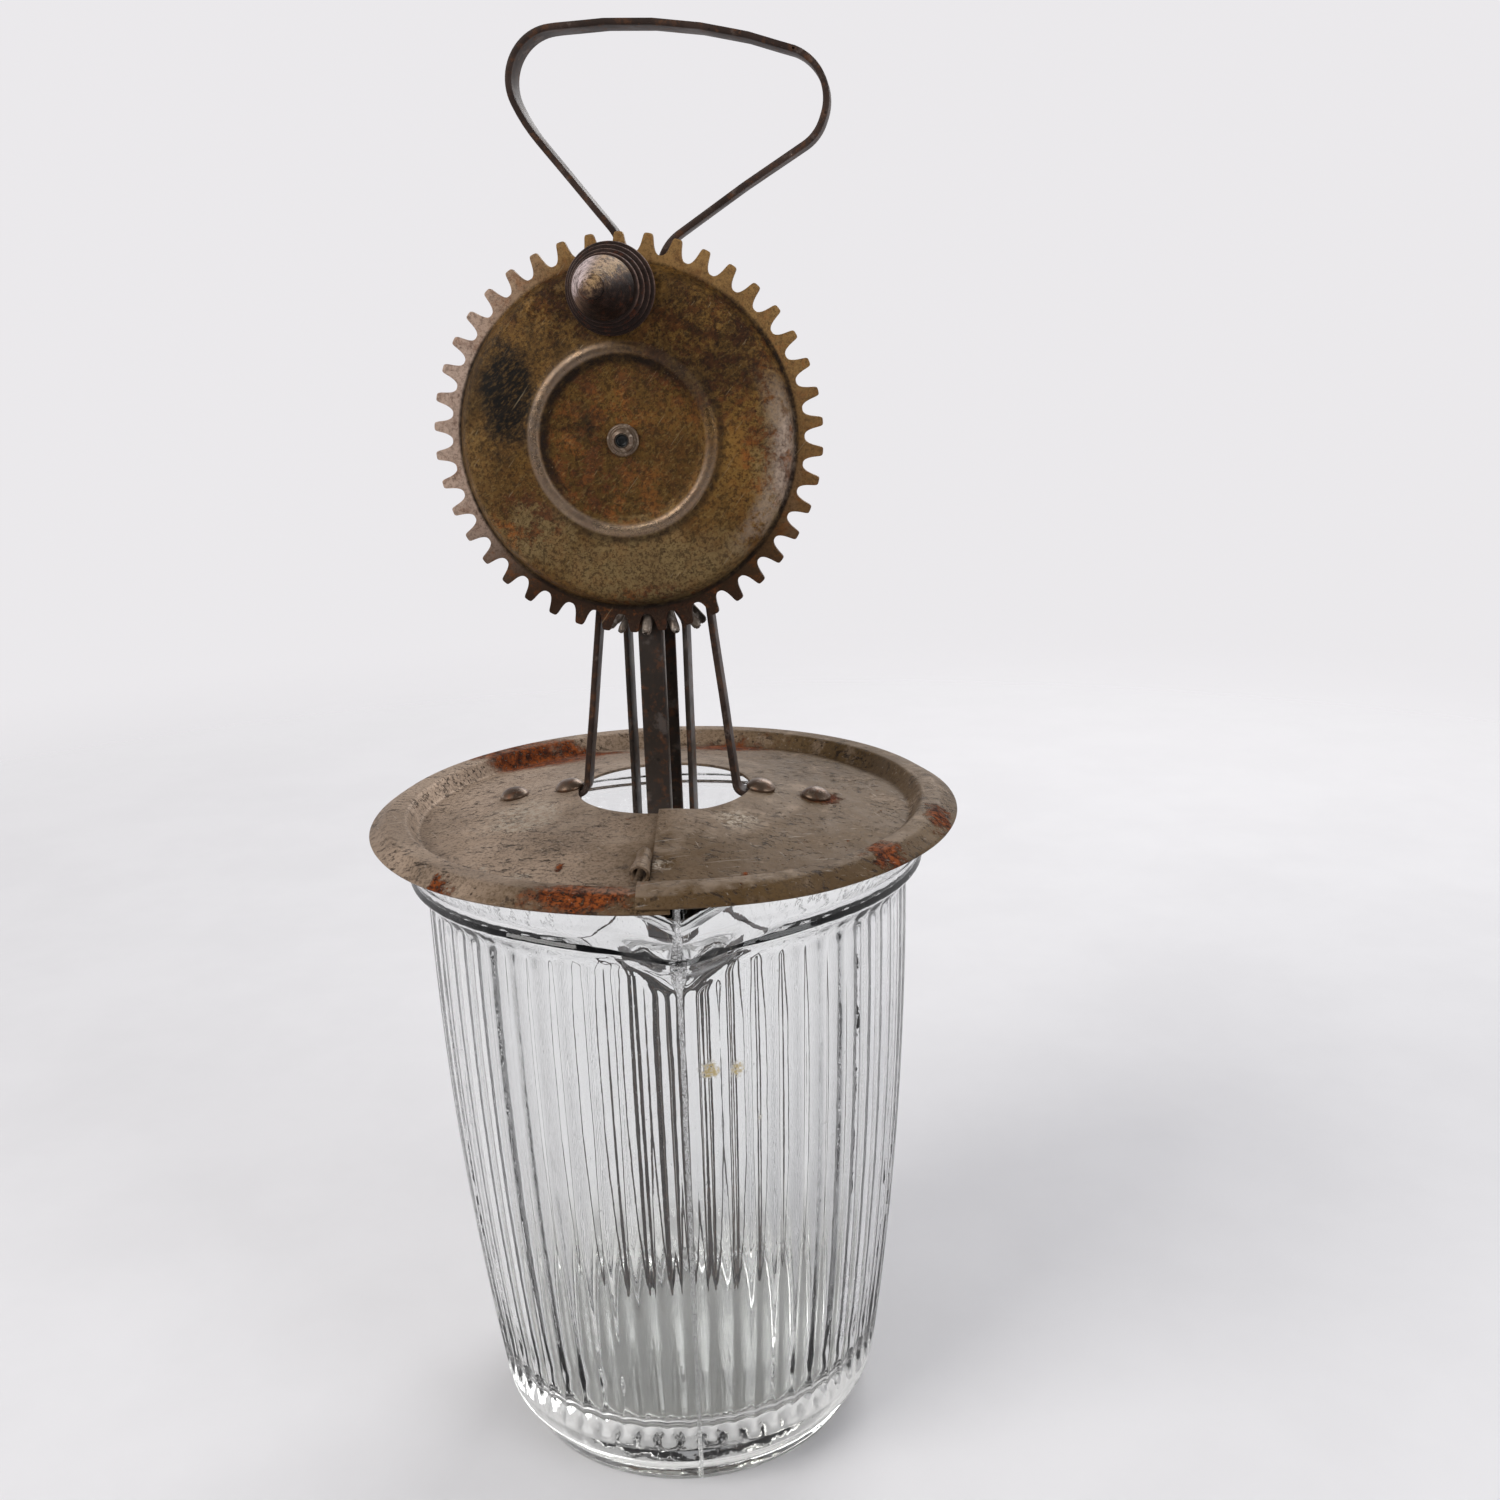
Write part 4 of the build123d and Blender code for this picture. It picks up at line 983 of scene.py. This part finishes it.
def make_lid():
    """One sheet that goes once round and laps under its own start at the seam."""
    profile = subdivided(rounded(LID_PROFILE, step=12), 0.95)
    columns = 380
    rows = []
    for point in profile:
        radius = point.x
        jog = 1.6 * smooth_step(radius, 51.5, 53.0)
        row = []
        for column in range(columns + 1):
            turn = (360 + LAP) * column / columns
            edge = math.degrees(jog / radius) * (1 - smooth_step(turn, 0, 30))
            bearing = SEAM_BEARING - edge + turn
            lift = LAP_LIFT * (1 - smooth_step(turn, 4.0, 34))
            angle = math.radians(bearing - 90)
            where = Vector((radius * math.cos(angle), radius * math.sin(angle), 0))
            # hand-made waves, none of them at the seam
            off_seam = smooth_step(turn, 0, 20) * (1 - smooth_step(turn, 344, 360))
            wave = noise.noise(where / 17.0) * 0.28 * smooth_step(radius, 20, 26)
            wave *= (1 - smooth_step(radius, 50, 54)) * off_seam
            flange = noise.noise(where / 30.0 + Vector((7, 3, 1))) * 0.3
            flange *= smooth_step(radius, 57, 61) * off_seam
            aside = (turn - 3.4) * math.radians(radius)
            away = ((radius - DIMPLE_RADIUS) / 1.5) ** 2 + (aside / 1.3) ** 2
            dimple = DIMPLE_DEPTH * math.exp(-away)
            where.z = point.y + lift + wave - dimple + flange
            row.append(where)
        rows.append(row)
    lid = skin("pressed_tin_lid", rows, TIN, round_about=False)
    upwards = sum(polygon.normal.z for polygon in lid.data.polygons) > 0
    thickened(lid, SHEET, 0.1, -1 if upwards else 1)
    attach(lid, "mixer_head")
    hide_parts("lid")


def make_lock_tab():
    """Curled tongue on the seam: an open tube of sheet, flared at its outer end."""
    bearing = math.radians(SEAM_BEARING - 2.3 - 90)
    outward = Vector((math.cos(bearing), math.sin(bearing), 0))
    aside = Vector((-outward.y, outward.x, 0))
    start, length, curl = 37.0, 10.0, 1.2
    rows = []
    for step in range(13):
        along = start + length * step / 12
        flare = 1 + 0.4 * smooth_step(step, 4, 12) - 0.2 * smooth_step(2 - step, 0, 2)
        centre = outward * along + Vector((0, 0, lid_height(along) + 0.35 + curl * flare))
        row = []
        for turn in range(-70, 226, 12):
            angle = math.radians(turn)
            radius = curl * flare * (1 - 0.16 * smooth_step(turn, 120, 225))
            rise = Vector((0, 0, radius * math.sin(angle)))
            row.append(centre + aside * radius * math.cos(angle) + rise)
        rows.append(row)
    tab = skin("seam_lock_tab", rows, TIN, round_about=False)
    thickened(tab, 0.55, 0.1, 0)
    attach(tab, "mixer_head")


# ---------- rivets
def rivet_model(radius, dome, tail_radius, tail, grip):
    """Domed rivet, its head's seat at the origin and its tail below a grip of sheet."""
    outline = rounded([
        (0, dome),
        (radius * 0.62, dome * 0.92, radius * 0.9),
        (radius, dome * 0.22, 0.5),
        (radius * 0.97, -0.02),
        (tail_radius * 0.6, -0.02),
        (tail_radius * 0.6, -grip),
        (tail_radius, -grip, 0.1),
        (tail_radius * 0.8, -grip - tail, 0.3),
        (0, -grip - tail),
    ], step=18)
    return turned("rivet_model", outline, RIVET, segments=40)


FOOT_RIVET_PLACES = (-32.4, -20.3, 20.3, 31.8)


def make_foot_rivets():
    slope = CONE_RISE / (CORNER[0] - OPENING_RADIUS)
    places = []
    for x in FOOT_RIVET_PLACES:
        outward = Vector((math.copysign(slope, x), 0, 1)).normalized()
        places.append(((x, 0, lid_height(abs(x)) + 0.02), outward, 37 * x))
    rivets = repeated("foot_rivet_heads", rivet_model(3.1, 2.0, 2.3, 0.9, 1.95), places, RIVET)
    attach(rivets, "mixer_head")
    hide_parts("foot_rivets")


# ---------- strip frame
HANDLE_PATH = (
    (-36.5, 137.85),
    (-16.3, 141.05, 2.2),
    (-2.5, 250.6, 8.7),
    (-20.0, 272.1, 29.0),
    (-26.7, 287.5, 9.0),
    (9.7, 290.4, 104.0),
    (38.9, 279.8, 9.0),
    (34.7, 267.9, 7.9),
    (20.9, 259.8, 38.0),
    (3.5, 248.8, 8.8),
    (15.4, 141.19, 2.2),
    (36.5, 137.85),
)
LEG_WIDTH = 5.0
GRIP_WIDTH = 7.0
GRIP_FROM, GRIP_TO = 252, 280
STRIP_SHEET = 1.25


def make_handle():
    """Frame strip from foot to foot, wider over the grip, with the kinks of hand bending."""

    def place(point, aside):
        kink = 0.12 * noise.noise(Vector((point.x, point.y, 3.0)) / 14)
        wider = 1 + (GRIP_WIDTH / LEG_WIDTH - 1) * smooth_step(point.y, GRIP_FROM, GRIP_TO)
        return Vector((point.x + kink, aside * wider, point.y + kink * 0.5))

    path = subdivided(rounded(HANDLE_PATH, step=5), 4.0)
    handle = strip("bent_strip_frame", path, LEG_WIDTH, STRIP_SHEET, STRIP, place)
    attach(handle, "mixer_head")
    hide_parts("handle_frame")


# ---------- crank wheel
RING_INNER = 33.2
WHEEL_SHEET = 1.1
# middle of the tooth gap that takes the pinion's finger, across and up from the axle
MESH_POINT = (2.17, -36.35)
MESH_LEAN = 0.18
# half a tooth: degrees from its middle, and drop below its tip
TOOTH_OUTLINE = (
    (0.0, 0.0), (0.7, 0.02), (1.02, 0.1), (1.22, 0.26), (1.36, 0.5), (1.52, 0.95), (1.7, 1.5),
    (1.92, 2.05), (2.2, 2.55), (2.54, 2.98), (2.94, 3.3), (3.42, 3.52), (3.9, 3.6),
)


def make_wheel():
    """Toothed wheel: flat toothed ring, dished annulus, round bead and flat centre."""
    plate_middle = wheel_high.y - WHEEL_SHEET / 2
    pitch = 360 / TOOTH_COUNT
    mesh_angle = math.degrees(math.atan2(MESH_POINT[1], MESH_POINT[0])) + MESH_LEAN
    columns = []
    for tooth in range(TOOTH_COUNT):
        middle = mesh_angle + pitch * (tooth + 0.5)
        flank = [(-off, drop) for off, drop in reversed(TOOTH_OUTLINE[1:])]
        for off, drop in flank + list(TOOTH_OUTLINE):
            columns.append((math.radians(middle + off), tip_radius - drop))
    dish = rounded([
        (1.5, 3.6), (14.6, 3.6, 1.6), (16.9, 5.25, 1.1), (18.9, 4.3, 1.6), (24.5, 4.1, 30.0),
        (30.6, 3.1, 1.8), (32.2, 0.0, 0.7), (RING_INNER, 0.0),
    ], step=14)
    rows = []
    for point in subdivided(dish, 2.6):
        rows.append([wheel_point(angle, point.x, plate_middle - point.y) for angle, tip in columns])
    for share in (0.25, 0.5, 0.75, 0.9, 1.0):
        row = []
        for angle, tip in columns:
            radius = RING_INNER + (tip - RING_INNER) * share
            row.append(wheel_point(angle, radius, plate_middle))
        rows.append(row)
    wheel = skin("toothed_crank_wheel", rows, WHEEL)
    thickened(wheel, WHEEL_SHEET, 0.14, 0)
    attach(wheel, "drive_wheel")
    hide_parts("drive_gear")


def wheel_point(angle, radius, depth):
    point = Vector((axle_x + radius * math.cos(angle), depth, axle_z + radius * math.sin(angle)))
    dent = noise.noise(Vector((point.x, 0, point.z)) / 21) * 0.25
    point.y += dent * smooth_step(radius, 4, 9) * (1 - smooth_step(radius, 30, 33))
    return point


# ---------- knob
KNOB_PIN_RADIUS = 2.2


def make_knob():
    """Turned knob: four rounded rings and a long blunt dome."""
    bore = 1.5
    outline = [(bore, 0.0)]
    for radius, back, front in KNOB_RINGS:
        outline += [(radius - 0.75, back), (radius, back + 0.05, 0.5), (radius, front, 0.5)]
        outline += [(radius - 0.95, front + 0.05)]
    outline += [KNOB_NECK[:2], (5.75, KNOB_NECK[2], 0.5)]
    outline += [(5.05, 10.2, 9.0), (3.7, 14.2, 14.0), (2.8, 16.7, 4.0)]
    outline += [(KNOB_PIN_RADIUS + 0.08, knob_length - 1.25), (bore, knob_length - 1.35)]
    outline = rounded(outline, step=18)
    centre = (knob_middle.x, knob_base, knob_middle.z)
    knob = turned("ringed_knob", outline, KNOB, centre, TO_CRANK_SIDE, 80)
    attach(knob, "crank_knob")
    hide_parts("crank_knob")


def make_knob_pin():
    """Pin riveted through the wheel, its head dressed flush with the knob's dome."""
    outline = rounded([
        (0, knob_length - 0.05), (1.3, knob_length - 0.3, 1.6),
        (KNOB_PIN_RADIUS, knob_length - 1.2, 0.3), (KNOB_PIN_RADIUS - 0.1, knob_length - 1.5),
        (1.38, knob_length - 1.5), (1.38, pin_tail + 0.9), (2.7, pin_tail + 0.9, 0.2),
        (2.5, pin_tail, 0.4), (0, pin_tail - 0.05),
    ], step=15)
    centre = (knob_middle.x, knob_base, knob_middle.z)
    pin = turned("knob_pin_and_head", outline, KNOB, centre, TO_CRANK_SIDE, 64)
    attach(pin, "drive_wheel")
    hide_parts("knob_pin")


def make_axle():
    """Axle with a punched, hollow front end and a riveted-over back end."""
    front = -node_box("axle")[0].y
    back = -node_box("axle")[1].y
    outline = rounded([
        (0, front - 0.7), (0.9, front - 0.55, 0.3), (1.12, front, 0.1),
        (1.4, front - 0.3, 0.25), (1.4, back + 0.7), (1.9, back + 0.7, 0.1), (1.5, back, 0.3),
        (0, back - 0.05),
    ], step=20)
    axle = turned("punched_axle", outline, AXLE, (axle_x, 0, axle_z), TO_CRANK_SIDE, 48)
    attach(axle, "drive_wheel")
    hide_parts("axle")


def make_axle_boss():
    """Collar pressed onto the axle: a stepped boss with a rolled edge."""
    front = -node_box("axle")[0].y
    outline = rounded([
        (1.42, front - 1.9), (2.9, front - 1.88, 0.1), (3.15, front - 1.45, 0.2),
        (2.75, front - 1.1, 0.25), (2.35, front - 1.25, 0.2), (2.25, front - 0.5, 0.7),
        (1.42, front - 0.02, 0.4),
    ], step=20)
    boss = turned("axle_boss", outline, AXLE, (axle_x, 0, axle_z), TO_CRANK_SIDE, 64)
    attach(boss, "drive_wheel")
    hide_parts("axle_collar")


# ---------- pinion
FINGER_SLANT = 50.0
FINGER_START = 5.0
PLATE_RADIUS = 5.6
PLATE_BORE = 2.65
PLATE_HALF_SHEET = 0.55


def finger_model():
    """One finger, lying along +Z from the origin, with a rounded end."""
    length, half, sheet = 8.0, 0.95, 1.5
    rows = []
    for share in (0, 0.15, 0.35, 0.55, 0.7, 0.8, 0.87, 0.93, 0.97, 1.0):
        along = length * share
        from_end = length - along
        width = half if from_end > half else math.sqrt(max(0.0, half**2 - (half - from_end) ** 2))
        width = max(width, 0.05)
        thin = min(sheet / 2, width) * (1 - 0.2 * smooth_step(share, 0.8, 1.0))
        corner = min(0.55, width * 0.6, thin * 0.8)
        rows.append([Vector((p.x, p.y, along)) for p in rounded_box(width, thin, corner)])
    return skin("finger_model", rows, FINGER, caps=True)


def make_pinion():
    plate_middle = pinion_top - PLATE_HALF_SHEET
    slant = math.radians(FINGER_SLANT)
    places = []
    for index in range(FINGER_COUNT):
        angle = math.radians(PINION_PHASE - 90 + 360 * index / FINGER_COUNT)
        flat = Vector((math.cos(angle), math.sin(angle), 0))
        outward = flat * math.cos(slant) - Vector((0, 0, math.sin(slant)))
        place = flat * (FINGER_START - 0.25) + Vector((0, 0, plate_middle + 0.1))
        places.append((place, outward, 0))
    fingers = repeated("pinion_fingers", finger_model(), places, FINGER)
    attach(fingers, "dasher")
    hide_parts("pinion")
    under = plate_middle - PLATE_HALF_SHEET
    outline = rounded([
        (PLATE_BORE, under), (PLATE_RADIUS, under, 0.3), (PLATE_RADIUS, pinion_top, 0.3),
        (PLATE_BORE, pinion_top),
    ], step=30)
    plate = turned("pinion_plate", outline, FINGER, segments=64)
    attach(plate, "dasher")
    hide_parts("pinion")


# ---------- dasher
DASHER_WIDTH = 5.0
DASHER_SHEET = 1.0


def make_dasher_loop(name, node, bearing, reach):
    """Closed loop of strip: narrow column above, belly below, as the CAD loop."""
    low, high = node_box(node)
    bottom, top = low.z + DASHER_SHEET / 2, high.z - DASHER_SHEET / 2
    column, toe = 6.1, 13.0
    right = [
        (4.0, top, 1.2),
        (column, top - 3.2, 4.0),
        (column, 121.0, 12.0),
        (reach, 92.0, 12.0),
        (reach, 58.0, 12.0),
        (toe, 33.0, 12.0),
        (column - 1.0, bottom, 5.0),
    ]
    left = [(-x, z, radius) for x, z, radius in reversed(right)]
    path = rounded([(0, top), *right, (0, bottom), *left], closed=True, step=6)
    path = subdivided(path + [path[0]], 4.0)[:-1]
    angle = math.radians(bearing - 90)
    outward = Vector((math.cos(angle), math.sin(angle), 0))
    sideways = Vector((-outward.y, outward.x, 0))

    def place(point, aside):
        sway = 0.15 * noise.noise(Vector((point.x, bearing, point.y)) / 19)
        return outward * (point.x + sway) + sideways * aside + Vector((0, 0, point.y))

    loop = strip(name, path, DASHER_WIDTH, DASHER_SHEET, DASHER, place, closed=True)
    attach(loop, "dasher")
    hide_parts(node)


# ---------- stage
PALE = (0.83, 0.815, 0.835)
LAMP_AIM = (0, 0, 0.16)
# name, place and size in metres, watts and colour
LAMPS = (
    ("window", (-0.85, -0.75, 0.95), (0.8, 0.8), 11, (1, 0.985, 0.96)),
    ("fill", (1.0, -0.6, 0.5), (0.5, 0.9), 4.5, (0.96, 0.98, 1)),
    ("back", (0.35, 0.95, 0.75), (0.8, 0.5), 6, (1, 1, 1)),
)
# the photograph's viewpoint, fitted to the lid's, wheel's and jar's outlines
CAMERA_PLACE = (52.28, -302.06, 234.82)
CAMERA_YAW, CAMERA_DOWN, CAMERA_ROLL = -6.42, 15.62, -1.86
SENSOR_WIDTH = 36.0
FOCAL_SHARE = 1521.1 / 1500


def make_floor():
    """Pale floor that fades into the surround."""
    paper = Finish("floor_paper")
    cloud = paper.noise(60, 4, 0.6).band(0.3, 0.7)
    paper.colour = paper.mix(cloud, (0.8, 0.79, 0.8), (0.83, 0.82, 0.83))
    fade = paper.apart((0, 0, 0), (1, 1, 0)).band(900, 350)
    material = paper.done(Roughness=0.8, Specular_IOR_Level=0.2, Alpha=fade)
    bpy.ops.mesh.primitive_circle_add(vertices=96, radius=1.0, fill_type="NGON", location=(0, 0, 0))
    floor = bpy.context.object
    floor.name = "floor"
    floor.data.materials.append(material)


def make_surround():
    """Glass and metal see a pale surround behind the object, and a dimmer room in front of it."""
    world = bpy.data.worlds.new("surround")
    bpy.context.scene.world = world
    world.use_nodes = True
    room = Nodes(world.node_tree)
    rays = room.node("ShaderNodeLightPath").outputs
    direction = room.out("Generated", "ShaderNodeTexCoord")
    depth, height = (room.out(axis, "ShaderNodeSeparateXYZ", (direction,)) for axis in "YZ")
    colour = room.mix(height.band(0.2, 0.7), PALE, (0.3, 0.3, 0.32))
    colour = room.mix(depth.band(0.1, -0.75), colour, (0.13, 0.13, 0.14))
    bounced = most(Output(room, rays["Is Transmission Ray"]), rays["Is Glossy Ray"])
    colour = room.mix(bounced, (0.4, 0.4, 0.42), colour)
    colour = room.mix(rays["Is Camera Ray"], colour, PALE)
    room.feed(room.tree.nodes["Background"].inputs["Color"], colour)


def make_lamps():
    for name, place, size, watts, tint in LAMPS:
        lamp = bpy.data.lights.new(name, "AREA")
        lamp.shape = "RECTANGLE"
        lamp.size, lamp.size_y = size
        lamp.energy = watts
        lamp.color = tint
        obj = add_object(name, lamp)
        obj.location = place
        aim = Vector(LAMP_AIM) - Vector(place)
        obj.rotation_euler = aim.to_track_quat("-Z", "Y").to_euler()


def make_camera():
    yaw, down, roll = (math.radians(v) for v in (CAMERA_YAW, CAMERA_DOWN, CAMERA_ROLL))
    forward = Vector(
        (math.sin(yaw) * math.cos(down), math.cos(yaw) * math.cos(down), -math.sin(down))
    )
    right = Vector((math.cos(yaw), -math.sin(yaw), 0))
    up = right.cross(forward)
    rolled_right = right * math.cos(roll) + up * math.sin(roll)
    rolled_up = up * math.cos(roll) - right * math.sin(roll)
    turn = Matrix((rolled_right, rolled_up, -forward)).transposed().to_4x4()
    camera = bpy.data.cameras.new("photograph_view")
    camera.sensor_width = SENSOR_WIDTH
    camera.lens = SENSOR_WIDTH * FOCAL_SHARE
    camera.clip_start = 0.01
    obj = add_object("photograph_view", camera)
    obj.matrix_world = Matrix.Translation(Vector(CAMERA_PLACE) * MM) @ turn
    bpy.context.scene.camera = obj


# ---------- the mixer
make_jar()
make_lid()
make_lock_tab()
make_foot_rivets()
make_handle()
make_wheel()
make_knob()
make_knob_pin()
make_axle()
make_axle_boss()
make_pinion()
make_dasher_loop("outer_dasher_loop", "dasher_outer_loop", PINION_PHASE + 90, 22.0)
make_dasher_loop("inner_dasher_loop", "dasher_inner_loop", PINION_PHASE, 19.0)
softened("gear_bracket", STRIP, 0.2)
softened("bracket_rivets", RIVET, 0.15)
for bare_node in (
    "axle_bush", "hub_washer", "rear_washer", "knob_washer", "center_rod", "rod_top_washer",
    "thrust_washer", "foot_washer",
):
    softened(bare_node, BARE, 0.1)
softened("pinion_hub", FINGER, 0.1)
softened("dasher_eyelet", FINGER, 0.1)

make_floor()
make_surround()
make_lamps()
make_camera()
bpy.context.scene.view_settings.view_transform = "Standard"
